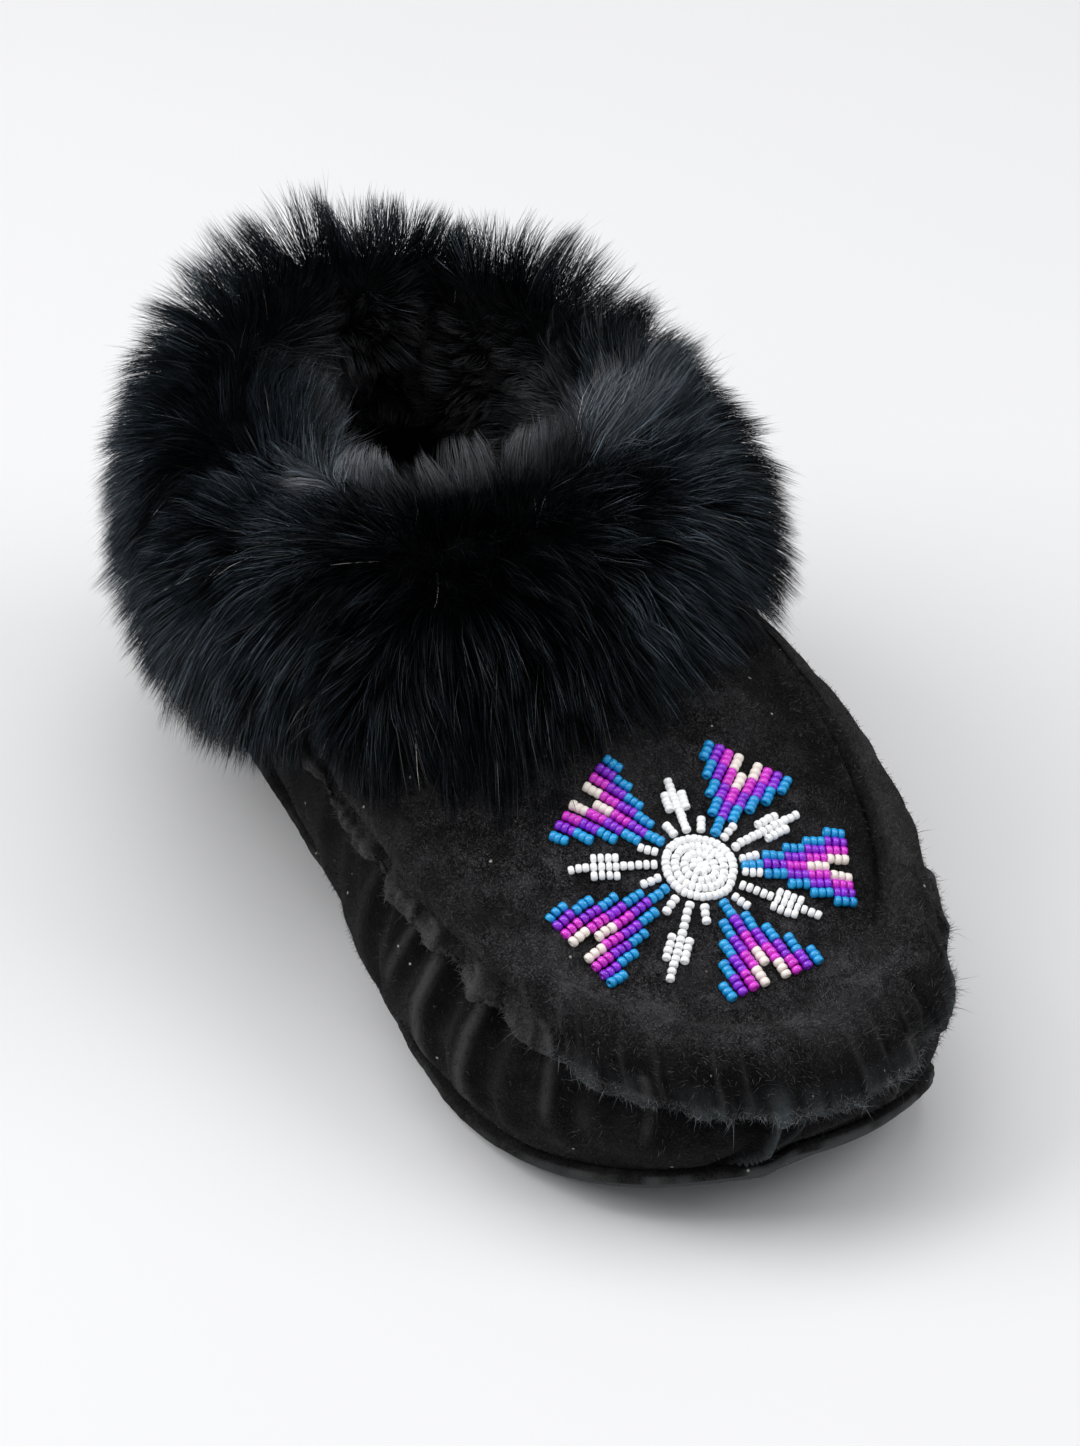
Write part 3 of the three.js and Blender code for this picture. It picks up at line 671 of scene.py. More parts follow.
# The pleat where the wall is joined at the toe: a ridge with a hollow and a crease beside it
TOE_PLEAT = Values(
    side="lateral", x=246.9, height=2.2, width=0.75, lean=2.4, low=-0.1, top=0.95, soft=0.10)
PLEAT_HOOK = Values(until=0.36, reach=7.0)
PLEAT_FLARE = Values(ways=(0.74, 0.97), width=1.5)
PLEAT_TROUGH = Values(aside=-4.0, width=3.0, depth=1.4)
PLEAT_CREASE = Values(start=0.25, aside=7.5, height=0.7, width=1.1, soft=0.3)
pleat_arc = arc_gap(TOE_PLEAT)
pleat_hook = PLEAT_HOOK.reach * np.clip(1 - outer_way / PLEAT_HOOK.until, 0, 1) ** 2
pleat_gap = pleat_arc + TOE_PLEAT.lean * (TOE_PLEAT.top - outer_way) + pleat_hook
pleat_flare = PLEAT_FLARE.width * smooth_step(*PLEAT_FLARE.ways, outer_way)
pleat_length = window(outer_way, TOE_PLEAT.low, TOE_PLEAT.top, TOE_PLEAT.soft)
pleat_ridge = bell(pleat_gap, TOE_PLEAT.width + pleat_flare) * pleat_length
pleat_hollow = bell(pleat_gap - PLEAT_TROUGH.aside, PLEAT_TROUGH.width) * pleat_length
crease_rise = (outer_way - PLEAT_CREASE.start) / (TOE_PLEAT.top - PLEAT_CREASE.start)
crease_rise = np.clip(crease_rise, 0, 1)
crease_ridge = bell(pleat_gap - PLEAT_CREASE.aside * crease_rise, PLEAT_CREASE.width)
crease_ridge = crease_ridge * smooth_step(0, PLEAT_CREASE.soft, crease_rise) * pleat_length
push += TOE_PLEAT.height * pleat_ridge - PLEAT_TROUGH.depth * pleat_hollow
push += PLEAT_CREASE.height * crease_ridge

# Small gathers where the wall is drawn in under the flange, and on the roll above it
GATHER = Values(
    pitch=10.0, drift=2.6, sides=0.35, wall=0.4, wall_top=0.95, wall_reach=0.22, roll=0.15, roll_reach=0.42)
GATHER_CREASE = Values(depth=0.55, width=0.26, edge_aside=0.45, edge_width=0.16, edge_rub=0.17)
FRONT = (0.45, 0.85)
gather_phase = TAU * seam_arc / GATHER.pitch + GATHER.drift * soft_noise(seam_ring, size=36, seed=5)
front = smooth_step(*FRONT, ring_ribs.along)
gather_wave = np.sin(gather_phase) * (GATHER.sides + (1 - GATHER.sides) * front) * strength
below_flange = bell(GATHER.wall_top - outer_way, GATHER.wall_reach) * (outer_way < GATHER.wall_top)
on_roll = np.zeros((len(outer), 1))
on_roll[FIRST_LEDGE:FIRST_ROLL] = 1
on_roll[FIRST_ROLL:FIRST_VAMP, 0] = bell(ROLL_SHARES, GATHER.roll_reach)
half_wave = np.sin(gather_phase / 2)
roll_crease = bell(half_wave, GATHER_CREASE.width) * front * strength
crease_edge = bell(half_wave - GATHER_CREASE.edge_aside, GATHER_CREASE.edge_width) * front * strength
push += GATHER.wall * gather_wave * below_flange
push += (GATHER.roll * gather_wave - GATHER_CREASE.depth * roll_crease) * on_roll
# A thin painted highlight along one edge of each crease on the roll
rub += GATHER_CREASE.edge_rub * crease_edge * on_roll

# On the medial side a groove parts the roll from the vamp; the groove gets painted shadow and the roll's
# crest a painted highlight
MEDIAL_RUN = (0.30, 0.92, 0.06)
MEDIAL_GROOVE = Values(inward=16.0, width=2.0, depth=3.0)
ROLL_CREST = Values(inward=8.5, width=4.2, height=1.6, rub=0.12, light=0.3)
medial_run = window(ring_ribs.along, *MEDIAL_RUN) * ~ring_ribs.lateral
inward = (outer_way - ROLL_START) * rib_reach
above_seam = (np.arange(len(outer)) >= FIRST_ROLL)[:, None] * medial_run
groove = bell(inward - MEDIAL_GROOVE.inward, MEDIAL_GROOVE.width) * above_seam
crest = bell(inward - ROLL_CREST.inward, ROLL_CREST.width) * above_seam
push += ROLL_CREST.height * crest - MEDIAL_GROOVE.depth * groove
rub += ROLL_CREST.rub * crest

# Soft troughs on the vamp, as plan lines: inside the roll on both sides, and across the instep
VAMP_TROUGHS = [
    Values(line=[(150, 40), (176, 43), (204, 41), (222, 34)], depth=1.3, width=5.0),
    Values(line=[(158, -36), (186, -36), (208, -31)], depth=0.8, width=5.0),
    Values(line=[(214, -24), (228, -10), (231, 8), (226, 24)], depth=0.7, width=4.5),
    Values(line=[(166, -30), (172, -10), (168, 12)], depth=0.6, width=8.0),
]
TROUGH_START = 1.04
plan = outer[..., :2]
for trough in VAMP_TROUGHS:
    line = np.array(trough.line, float)
    nearest = np.full(outer.shape[:2], np.inf)
    for first, second in zip(line[:-1], line[1:]):
        run = second - first
        share = np.clip(((plan - first) @ run) / (run @ run), 0, 1)
        nearest = np.minimum(nearest, np.linalg.norm(plan - (first + share[..., None] * run), axis=-1))
    push -= trough.depth * bell(nearest, trough.width) * (outer_way > TROUGH_START)

# Slack suede is never quite even; the pushes fade out at the sole and at the collar
SLACK = [(0.45, 26, 11), (0.16, 8, 12)]
PUSH_FADE = Values(sole=0.12, collar=1.9)
push += noise_sum(outer, SLACK)
row_fade = smooth_step(0.0, PUSH_FADE.sole, outer_way) * (1 - smooth_step(PUSH_FADE.collar, 2.0, outer_way))
outer = outer + normals * (push * row_fade)[..., None]

# The flange waves up and down with the gathers and its raw edge is ragged, less so on the medial side
SCALLOP = Values(pace=1.35, start=1.1, toe_calm=0.5)
WAVE = Values(height=0.4, pitch=17, drift=1.3, sides=0.3, scallop=0.20, medial_calm=0.7)
RAGGED = Values(layers=[(0.42, 2.2, 22), (0.45, 7, 23)], scallop=0.22, medial_calm=0.6, start=0.4)
scallop = np.sin(SCALLOP.pace * gather_phase + SCALLOP.start) * (1 - SCALLOP.toe_calm * toe_face)
wave_phase = TAU * seam_arc / WAVE.pitch + WAVE.drift * soft_noise(seam_ring, size=40, seed=21)
wave_up = WAVE.height * np.sin(wave_phase) * (WAVE.sides + (1 - WAVE.sides) * front)
wave_up = (wave_up + WAVE.scallop * scallop) * (1 - WAVE.medial_calm * medial_run) * strength
ragged = noise_sum(seam_ring, RAGGED.layers) + RAGGED.scallop * scallop
ragged = ragged * (1 - RAGGED.medial_calm * medial_run) * strength
edge_shares = [(row.out, max(row.out - RAGGED.start, 0) / (1 - RAGGED.start)) for row in flange_rows]
edge_shares += [(1 - share, 1 - share) for share in LEDGE_SHARES]
for row, (up_share, out_share) in enumerate(edge_shares, FIRST_FLANGE):
    outer[row, :, 2] += wave_up * up_share
    outer[row] += ring_outward * (ragged * out_share)[:, None]

# Beside the pleat, toward the big toe, the edge of the sole and the wall's foot stand a little higher
TOE_LIFT = Values(height=3.2, start=-2.0, full=6.0, fade=30.0, end=80.0, up_to=0.75)


def toe_lift(turn):
    gap = np.interp(turn, turns, pleat_arc)
    return (TOE_LIFT.height * smooth_step(TOE_LIFT.start, TOE_LIFT.full, gap)
            * (1 - smooth_step(TOE_LIFT.fade, TOE_LIFT.end, gap)))


inner = np.array([upper_point(turns, way) - upper_normal(turns, way) * WALL for way in INNER_WAYS])
upper_grid = np.concatenate([outer, inner])
upper_way = np.concatenate([outer_way, np.tile(INNER_WAYS[:, None], RING)])
upper_grid[..., 2] += toe_lift(turns) * (1 - smooth_step(0, TOE_LIFT.up_to, upper_way))
OUTER_ROWS = len(outer)
UPPER_ROWS = len(upper_grid)
outer = upper_grid[:OUTER_ROWS]
lining = np.repeat(np.arange(UPPER_ROWS) >= OUTER_ROWS, RING)
upper_piece = make_piece("upper_suede", upper_grid, [grid_faces(UPPER_ROWS, RING, closed_rows=True)],
                         [SUEDE, FLEECE], ["upper"], lining)

# How frayed and worn the suede is, and where painted shade and painted highlights lie on it
TOE_FRONT = (0.80, 0.93)
FRAY = Values(start=0.84, gain=5.0, middle=0.5, rub=0.75, ledge=0.3, pleat=0.85, crease=0.3, most=0.85)
FRAY_LAYERS = [(0.5, 5, 31), (0.4, 2.4, 32)]
WEAR_AND_HIGHLIGHT_MOST = 0.8
WALL_SHADE = Values(lateral=0.94, medial=0.80, toe_less=0.14, along=(0.70, 0.88), rows=3)
FOOT_SHADE = Values(share=0.85, ways=(0.2, 0.85))
LATERAL_SHADE = Values(most=0.50, along=(0.72, 0.92))
MEDIAL_SHADE = Values(most=0.72, along=(0.88, 1.0))
ROLL_SHADE = 0.85
HOLLOW_SHADE = 0.3
toe_front = smooth_step(*TOE_FRONT, ring_ribs.along)
fray_noise = np.clip(FRAY.middle + noise_sum(seam_ring, FRAY_LAYERS), 0, 1) * strength
fray = FRAY.pleat * pleat_ridge + FRAY.crease * crease_ridge
edge_frays = [(np.clip(row.out - FRAY.start, 0, 1) * FRAY.gain, FRAY.rub) for row in flange_rows]
edge_frays += [(FRAY.ledge * (1 - share), 1) for share in LEDGE_SHARES]
for row, (amount, rubbed) in enumerate(edge_frays, FIRST_FLANGE):
    fray[row] += amount * fray_noise * toe_front
    rub[row] += rubbed * amount * fray_noise * (1 - toe_front)


def fading(painted_shade):
    """A painted shade that ends toward the toe."""
    return painted_shade.most * (1 - smooth_step(*painted_shade.along, ring_ribs.along))


# Painted shade where less light falls: on the wall, most on the lateral side and near the flange, less at the
# toe; on the vamp and roll away from the toe; on the roll's face at the toe; in the hollow beside the pleat.
# Painted shadow fills the medial groove, and painted light lifts the roll's crest.
wall_shade = np.where(ring_ribs.lateral, WALL_SHADE.lateral, WALL_SHADE.medial)
wall_shade = wall_shade - WALL_SHADE.toe_less * smooth_step(*WALL_SHADE.along, ring_ribs.along)
foot_shade = FOOT_SHADE.share + (1 - FOOT_SHADE.share) * smooth_step(*FOOT_SHADE.ways, outer_way)
LAST_WALL = FIRST_FLANGE + WALL_SHADE.rows
painted_shade = np.zeros(outer.shape[:2])
painted_shade[:LAST_WALL] = wall_shade * foot_shade[:LAST_WALL]
painted_shade[FIRST_LEDGE:] = np.where(ring_ribs.lateral, fading(LATERAL_SHADE), fading(MEDIAL_SHADE))
painted_shade = np.maximum(painted_shade, ROLL_SHADE * toe_front * on_roll) + HOLLOW_SHADE * pleat_hollow
painted_shade = np.maximum(painted_shade - ROLL_CREST.light * crest, groove)
suede_values = {"fray": np.clip(fray, 0, FRAY.most), "painted_shade": painted_shade, "rub": np.clip(rub, 0, WEAR_AND_HIGHLIGHT_MOST)}
for name, values in suede_values.items():
    set_point_value(upper_piece, name, np.concatenate([values, np.zeros(inner.shape[:2])]))
upper_tree = BVHTree.FromPolygons(outer.reshape(-1, 3).tolist(), grid_faces(OUTER_ROWS, RING).tolist())

# Sole: a tread layer and a rounded lip above it, with a top under the foot
SOLE_ROWS = Values(
    inset=[3.2, 2.4, 2.2, 2.2, 1.6, 0.75, 0.25, 0.02, 0.05, 0.35, 0.95, 2.0],
    height=[0.0, 0.15, 0.6, 1.7, 2.0, 2.05, 2.45, 3.0, 3.55, 4.15, 4.5, 4.5],
)
LIP_HEIGHT = (1.7, 2.3)
LIP_INSET = (1.0, 2.0)
LIP_WAVE = Values(layers=[(0.22, 14, 41), (0.12, 4, 42)], up=0.6)
TREAD_WEAR = Values(rows=slice(0, 4), amount=0.75)
LIP_WEAR = Values(rows=slice(5, 10), sides=0.22, toe=0.38, middle=0.6)
sole_ring = sole_plan(turns)
lip_wave = noise_sum(sole_ring, LIP_WAVE.layers)
sole_grid = []
for row in rows_of(SOLE_ROWS):
    wave = smooth_step(*LIP_HEIGHT, row.height) * (1 - smooth_step(*LIP_INSET, row.inset)) * lip_wave
    sole_grid.append(sole_level(turns, row.inset - wave, row.height + LIP_WAVE.up * wave))
sole_grid = np.array(sole_grid)
sole_grid[..., 2] += toe_lift(turns)
sole_piece = lidded_piece("sole_suede", sole_grid, SOLE_SUEDE, ["sole"])
worn = np.zeros(sole_grid.shape[:2])
worn[TREAD_WEAR.rows] = TREAD_WEAR.amount
lip_wear = np.clip(LIP_WEAR.middle + soft_noise(sole_ring, size=9, seed=43), 0, 1)
worn[LIP_WEAR.rows] = (LIP_WEAR.sides + LIP_WEAR.toe * toe_front) * lip_wear
set_point_value(sole_piece, "fray", worn)

# Insole pad
INSOLE_ROWS = Values(inset=[0.0, 0.0, 0.5, 1.4], height=[0.0, 2.6, 3.2, 3.5])
INSOLE_RING = 240
insole_turns = np.arange(INSOLE_RING) * TAU / INSOLE_RING
insole_grid = np.array([
    sole_level(insole_turns, np.full(INSOLE_RING, INSOLE_INSET + row.inset), SOLE_THICK + GAP + row.height)
    for row in rows_of(INSOLE_ROWS)])
insole_grid[..., 2] += toe_lift(insole_turns)
insole_piece = lidded_piece("insole_fleece", insole_grid, FLEECE, ["insole"])

# Fur cuff: the section of its body, by distance down the upper or up from the collar, and out from it
CUFF_OUTSIDE = Values(down=[62, 65, 56, 40, 22, 6], out=[1.5, 8, 18, 26, 29, 28])
CUFF_TOP = Values(up=[10, 22, 25, 16, 2], out=[23, 13, 1, -9, -13])
CUFF_INSIDE = Values(down=[14, 28], out=[-12, -8])
# The skin under the hair lies at a share of the fur's depth
SKIN_SHARE = 0.56
SKIN_CLEAR = 1.5
SKIN_LUMPS = [(1.6, 24, 51), (0.7, 9, 52)]
# It ends above the fringe, most of all in front, where the hair lies on the vamp
skin_trim = side_curve(
    [0, 0.45, 0.75, 0.90, 1], lateral=[0.92, 0.92, 0.93, 0.96, 0.84], medial=[0.90, 0.88, 0.82, 0.80, 0.80])
CUFF_RING = 240
CUFF_STEPS = 64
cuff_turns = np.arange(CUFF_RING) * TAU / CUFF_RING
cuff_ribs = Ribs(cuff_turns)
DOWN_WAYS = np.linspace(2, 0, 81)
down_points = upper_point(cuff_turns[None, :], DOWN_WAYS[:, None])
down_steps = np.linalg.norm(np.diff(down_points, axis=0), axis=-1)
down_lengths = np.concatenate([np.zeros((1, CUFF_RING)), np.cumsum(down_steps, axis=0)])


def off_rib(down, out):
    """A ring at a distance down from the collar's edge, standing out from the upper."""
    wanted = down * flap_length(cuff_ribs) * skin_trim(cuff_ribs)
    way = np.array([np.interp(wanted[k], down_lengths[:, k], DOWN_WAYS) for k in range(CUFF_RING)])
    stand = np.broadcast_to(out, CUFF_RING)[:, None]
    return upper_point(cuff_turns, way) + upper_normal(cuff_turns, way) * stand


collar_edge = collar_loop(cuff_turns)
collar_rise = unit(collar_edge - upper_point(cuff_turns, 2 - WAY_STEP))
collar_up = unit(collar_rise * (1 - CUFF_UPRIGHT) + UP * CUFF_UPRIGHT)
collar_round = unit(collar_loop(cuff_turns + TURN_STEP) - collar_loop(cuff_turns - TURN_STEP))
collar_out = unit(np.cross(collar_round, collar_up))


def shrink(size, clear=SKIN_CLEAR):
    """A depth of fur brought down to the skin's share, but never less than the clearance."""
    return np.sign(size) * (clear + np.maximum(np.abs(size) - clear, 0) * SKIN_SHARE)


def skin_section():
    """Rings of the skin from the fringe over the roll to its inner edge."""
    depth = fur_depth(cuff_ribs)
    section = [off_rib(row.down, shrink(row.out * depth)) for row in rows_of(CUFF_OUTSIDE)]
    for row in rows_of(CUFF_TOP):
        stand = shrink(row.out * (depth if row.out > 0 else np.ones(CUFF_RING)))
        lift = shrink(row.up * roll_height(cuff_ribs))
        section.append(collar_edge + collar_up * lift[:, None] + collar_out * stand[:, None])
    section += [off_rib(row.down, shrink(row.out, WALL + SKIN_CLEAR)) for row in rows_of(CUFF_INSIDE)]
    return section


section = skin_section()
skin = smooth_curve(np.arange(len(section)), section)(np.linspace(0, len(section) - 1, CUFF_STEPS))
skin = skin + grid_normals(skin) * noise_sum(skin, SKIN_LUMPS)[..., None]
skin_normals = grid_normals(skin)
skin_round, skin_rising = map(unit, grid_runs(skin))

# The body closes along the upper: down the inside from its inner edge, over the collar, down outside
HUG = 0.6
HUG_INSIDE = [24, 10, 2]
HUG_OUTSIDE = [3, 14, 28, 44, 58]
hug_rings = [off_rib(down, -(WALL + HUG)) for down in HUG_INSIDE]
hug_rings.append(collar_edge + collar_up * HUG)
hug_rings += [off_rib(down, HUG) for down in HUG_OUTSIDE]
cuff_body = np.concatenate([skin, hug_rings])
FUR_SKIN = hair_material("fur_underhair", (0.0018, 0.0021, 0.0026), roughness=0.9, specular=0.05)
make_piece("fur_cuff_body", cuff_body, [grid_faces(len(cuff_body), CUFF_RING, closed_rows=True)],
           [FUR_SKIN], ["fur_cuff"])

# Hair: how it stands along the section, from the fringe (0) over the roll to the inner edge (1)
HAIR_PLACES = [0, 0.10, 0.20, 0.32, 0.45, 0.58, 0.70, 0.85, 1]
hair_lean = smooth_curve(HAIR_PLACES, [74, 58, 42, 24, 8, 0, 0, 6, 12])
hair_length = smooth_curve(HAIR_PLACES, [17, 18, 18.5, 18, 17.5, 16.5, 14, 10, 8])
hair_even = smooth_curve(HAIR_PLACES, [0, 0, 0, 0.2, 0.6, 1, 1, 1, 1])
hair_droop = smooth_curve(HAIR_PLACES, [0.12, 0.18, 0.20, 0.20, 0.16, 0.08, 0.04, 0.02, 0.0])
hair_weight = smooth_curve([0, 0.1, 0.5, 0.8, 1], [1.6, 1.1, 1.0, 0.9, 0.6])
# How long it is round the collar: on the roll, outside, inside and at the fringe
hair_crest = side_curve(
    CREST_PLACES,
    lateral=[1.44, 1.32, 1.08, 0.90, 0.52, 0.58, 0.90],
    medial=[1.44, 0.84, 1.15, 1.26, 1.30, 1.75, 1.20])
hair_side = side_curve(
    [0, 0.20, 0.45, 0.75, 1], lateral=[1.05, 1.0, 1.0, 1.0, 1.0], medial=[1.0, 1.15, 1.32, 1.14, 1.0])
hair_inside = side_curve(
    [0, 0.12, 0.30, 0.60, 0.80, 1],
    lateral=[1.0, 1.3, 1.7, 1.6, 1.0, 1.0],
    medial=[1.0, 0.9, 0.7, 0.6, 0.7, 1.0])
hair_fringe = side_curve(
    FORM_PLACES, lateral=[0.90, 0.80, 0.74, 1.00, 1.55, 1.25], medial=[0.90, 1.0, 1.0, 1.0, 1.0, 1.1])
ON_FRINGE = (0.08, 0.26)
ON_SIDE = (0.15, 0.30)
ON_ROLL = (0.42, 0.60)
WITHIN = (0.60, 0.74)
PARTING = Values(sway=0.8, turn=math.pi - 0.3, along=(0.35, 0.9))
SWAY = Values(layers=[(0.22, 42, 61), (0.16, 17, 62)], wander=0.012)
LENGTH_SPREAD = Values(middle=1.0, spread=0.12, least=0.6, most=1.25)
BEND = Values(back=0.10, spread=0.05)
step_places = (np.arange(CUFF_STEPS - 1) + 0.5) / (CUFF_STEPS - 1)
cell_rise, cell_run = cell_sizes(skin)
cell_weight = cell_rise * cell_run * hair_weight(step_places)[:, None]


def hair_paths(count, draw, wander):
    """Roots, headings and lengths for a number of hairs."""
    row, column, row_share, column_share = pick_cells(cell_weight, count, draw)
    grids = (skin, skin_normals, skin_rising, skin_round)
    root, *directions = (blend_at(grid, row, column, row_share, column_share) for grid in grids)
    normal, rising, sideways = map(unit, directions)
    place = (row + row_share) / (CUFF_STEPS - 1)
    lean = np.radians(hair_lean(place) + wander * draw.normal(size=count))
    turn = (column + column_share) * TAU / CUFF_RING
    ribs = Ribs(turn)
    parted = smooth_step(*PARTING.along, ribs.along)
    sway = noise_sum(root, SWAY.layers) + PARTING.sway * np.sin(turn - PARTING.turn) * parted
    sway = sway + SWAY.wander * wander * draw.normal(size=count)
    heading = normal * np.cos(lean)[:, None] - rising * np.sin(lean)[:, None] + sideways * sway[:, None]
    on_roll = smooth_step(*ON_ROLL, place)
    on_side = smooth_step(*ON_SIDE, place) * (1 - on_roll)
    within = smooth_step(*WITHIN, place)
    depth = fur_depth(ribs)
    depth = depth + (1 - depth) * np.clip(hair_even(place), 0, 1)
    depth = depth * (1 + (hair_crest(ribs) - 1) * on_roll * (1 - within) + (hair_side(ribs) - 1) * on_side)
    depth = depth * (1 + (hair_inside(ribs) - 1) * within)
    depth = depth * (1 + (hair_fringe(ribs) - 1) * (1 - smooth_step(*ON_FRINGE, place)))
    spread = draw.normal(LENGTH_SPREAD.middle, LENGTH_SPREAD.spread, size=count)
    length = hair_length(place) * depth * np.clip(spread, LENGTH_SPREAD.least, LENGTH_SPREAD.most)
    bend = -UP * hair_droop(place)[:, None] - rising * BEND.back + BEND.spread * draw.normal(size=(count, 3))
    return Values(
        root=root, normal=normal, heading=unit(heading), length=length, bend=bend, place=place, turn=turn)


def path_point(hair, share):
    return hair.root + hair.length[:, None] * (hair.heading * share + hair.bend * share ** 2)


def root_tree(roots):
    tree = KDTree(len(roots))
    for k, root in enumerate(roots):
        tree.insert(Vector(root), k)
    tree.balance()
    return tree


def nearest_root(tree, roots):
    return np.array([tree.find(Vector(root))[1] for root in roots])


# Hairs are drawn to the tips of clumps, and clumps to the tips of tufts
CLUMPS = 4600
CLUMP_WANDER = 9
CLUMP_PULL = (0.30, 0.78)
CLUMP_BOW = 1.6
TUFTS = 520
TUFT_PULL = 0.22
LIP_TUFT_PULL = 0.58
clump_draw = np.random.default_rng(seed=71)
clumps = hair_paths(CLUMPS, clump_draw, CLUMP_WANDER)
clump_tips = path_point(clumps, 1.0)
clump_pull = clump_draw.uniform(*CLUMP_PULL, size=CLUMPS)
clump_tree = root_tree(clumps.root)
tuft_tree = root_tree(clumps.root[:TUFTS])


def ribbon_piece(name, points, facing, widths, materials, face_material=None):
    """Flat tapered ribbons along paths: points is (stations, ribbons, 3); each ends in a tip."""
    stations, count, _ = points.shape
    vertices = []
    for k in range(stations - 1):
        run = unit(points[k + 1] - points[max(k - 1, 0)])
        side = unit(np.cross(run, facing))
        half = np.asarray(widths[k])[..., None] / 2 * np.ones((count, 1))
        vertices += [points[k] - side * half, points[k] + side * half]
    vertices.append(points[-1])
    per = len(vertices)
    start = np.arange(count)[:, None] * per
    fours = [start + np.array([2 * k, 2 * k + 1, 2 * k + 3, 2 * k + 2]) for k in range(stations - 2)]
    faces = [np.concatenate(fours)] if fours else []
    faces.append(start + np.array([per - 3, per - 2, per - 1]))
    return make_piece(name, np.stack(vertices, axis=1), faces, materials, face_material=face_material)


def twisted(facing, heading, draw, most):
    """Facing directions turned about the hair by a random angle up to the given one."""
    across = unit(np.cross(heading, facing))
    flat = unit(np.cross(across, heading))
    angle = draw.uniform(-most, most, size=len(facing))[:, None]
    return flat * np.cos(angle) + across * np.sin(angle)


# The hair round the front lip of the opening stands in the light and is painted lighter, as painted light:
# where on the section, and how far round
LIP_PLACE = (0.56, 0.68, 0.08)
LIP_ROUND = Values(lateral=0.65, medial=0.78, soft=0.12)
LIP_LOCK = Values(size=11.0, share=0.38)
LIP_TUFT = Values(size=15, middle=0.70, spread=0.45)
# Hair inside the opening is painted lighter too: painted light where little light reaches
INSIDE_LIGHT = Values(most=0.42, places=(0.68, 0.80))
gloss_on_section = smooth_curve([0, 0.12, 0.30, 0.50, 0.62, 0.75, 1], [0.28, 0.34, 0.85, 1.4, 1.5, 2.0, 2.4])
gloss_round = side_curve(
    FORM_PLACES, lateral=[1.9, 2.8, 2.5, 1.2, 0.6, 0.9], medial=[1.6, 0.8, 0.35, 0.45, 2.2, 2.8])


def lip_place(hair):
    at_lip = window(hair.place, *LIP_PLACE)
    ribs = Ribs(hair.turn)
    start = np.where(ribs.lateral, LIP_ROUND.lateral, LIP_ROUND.medial)
    return at_lip * smooth_step(0, LIP_ROUND.soft, ribs.along - start)


def lip_lightness(hair):
    tuft = LIP_TUFT.middle + LIP_TUFT.spread * soft_noise(hair.root, LIP_TUFT.size, seed=65)
    inside = INSIDE_LIGHT.most * smooth_step(*INSIDE_LIGHT.places, hair.place)
    return np.maximum(lip_place(hair) * np.clip(tuft, 0, 1), inside)


def lip_ragged(hair):
    """Locks of different length along the front lip."""
    lock = np.clip(soft_noise(hair.root, LIP_LOCK.size, seed=66), -1, 1)
    return LIP_LOCK.share * lock * lip_place(hair)


HAIR_SHARES = [0.0, 0.38, 0.74, 1.0]
HAIR_WIDTHS = [0.9, 1.0, 0.62]
HAIR_TWIST = 1.2
FLOOR_CLEAR = 1.0
PULL_SPREAD = (0.7, 1.1)


def grow_hair(count, seed, wander, pull_scale=1.0, length_scale=1.0):
    draw = np.random.default_rng(seed)
    hair = hair_paths(count, draw, wander)
    hair.length = hair.length * length_scale * (1 + lip_ragged(hair))
    tips = path_point(hair, 1.0)
    owner = nearest_root(clump_tree, hair.root)
    pull = clump_pull[owner] * pull_scale * draw.uniform(*PULL_SPREAD, size=count)
    toward = (clump_tips[owner] - tips) * pull[:, None]
    tuft = nearest_root(tuft_tree, hair.root)
    tuft_pull = TUFT_PULL + (LIP_TUFT_PULL - TUFT_PULL) * lip_place(hair)
    gather = (clump_tips[tuft] - tips - toward) * tuft_pull[:, None]
    points = np.array([path_point(hair, share) + toward * share ** CLUMP_BOW + gather * share ** 2
                       for share in HAIR_SHARES])
    points[..., 2] = np.maximum(points[..., 2], FLOOR_CLEAR)
    facing = twisted(hair.normal, hair.heading, draw, HAIR_TWIST)
    return points, facing, hair, draw


HAIRS_EACH = 30000
FIRST_SEED = 80
HAIR_WIDTH = 0.155
WIDTH_SPREAD = (0.7, 1.25)
GLOSS_SPREAD = (0.6, 1.4)
FUR_ROUGHNESS = 0.36
FUR_LIP_TONE = (0.142, 0.142, 0.150)
# How much of the lip's light each point of a hair takes, from root to tip
LIP_ALONG = np.array([0, 0, 0.45, 0.45, 0.9, 0.9, 1.0])
FUR_TONES = [
    Values(colour=(0.0008, 0.0011, 0.0016), gloss=0.10),
    Values(colour=(0.0016, 0.0020, 0.0028), gloss=0.22),
    Values(colour=(0.0050, 0.0058, 0.0070), gloss=0.65),
    Values(colour=(0.0010, 0.0013, 0.0019), gloss=0.14),
]
for number, tone in enumerate(FUR_TONES):
    name = f"fur_hair_{number + 1}"
    points, facing, hair, draw = grow_hair(HAIRS_EACH, FIRST_SEED + number, wander=8)
    width = HAIR_WIDTH * draw.uniform(*WIDTH_SPREAD, size=HAIRS_EACH)
    material = fur_material(name, tone.colour, FUR_LIP_TONE, FUR_ROUGHNESS)
    piece = ribbon_piece(name, points, facing, [w * width for w in HAIR_WIDTHS], [material])
    set_point_value(piece, "lip", lip_lightness(hair)[:, None] * LIP_ALONG)
    gloss = tone.gloss * (gloss_on_section(hair.place) * gloss_round(Ribs(hair.turn)))
    gloss = gloss * draw.uniform(*GLOSS_SPREAD, size=HAIRS_EACH)
    set_point_value(piece, "gloss", np.repeat(np.clip(gloss, 0, 1), len(LIP_ALONG)))

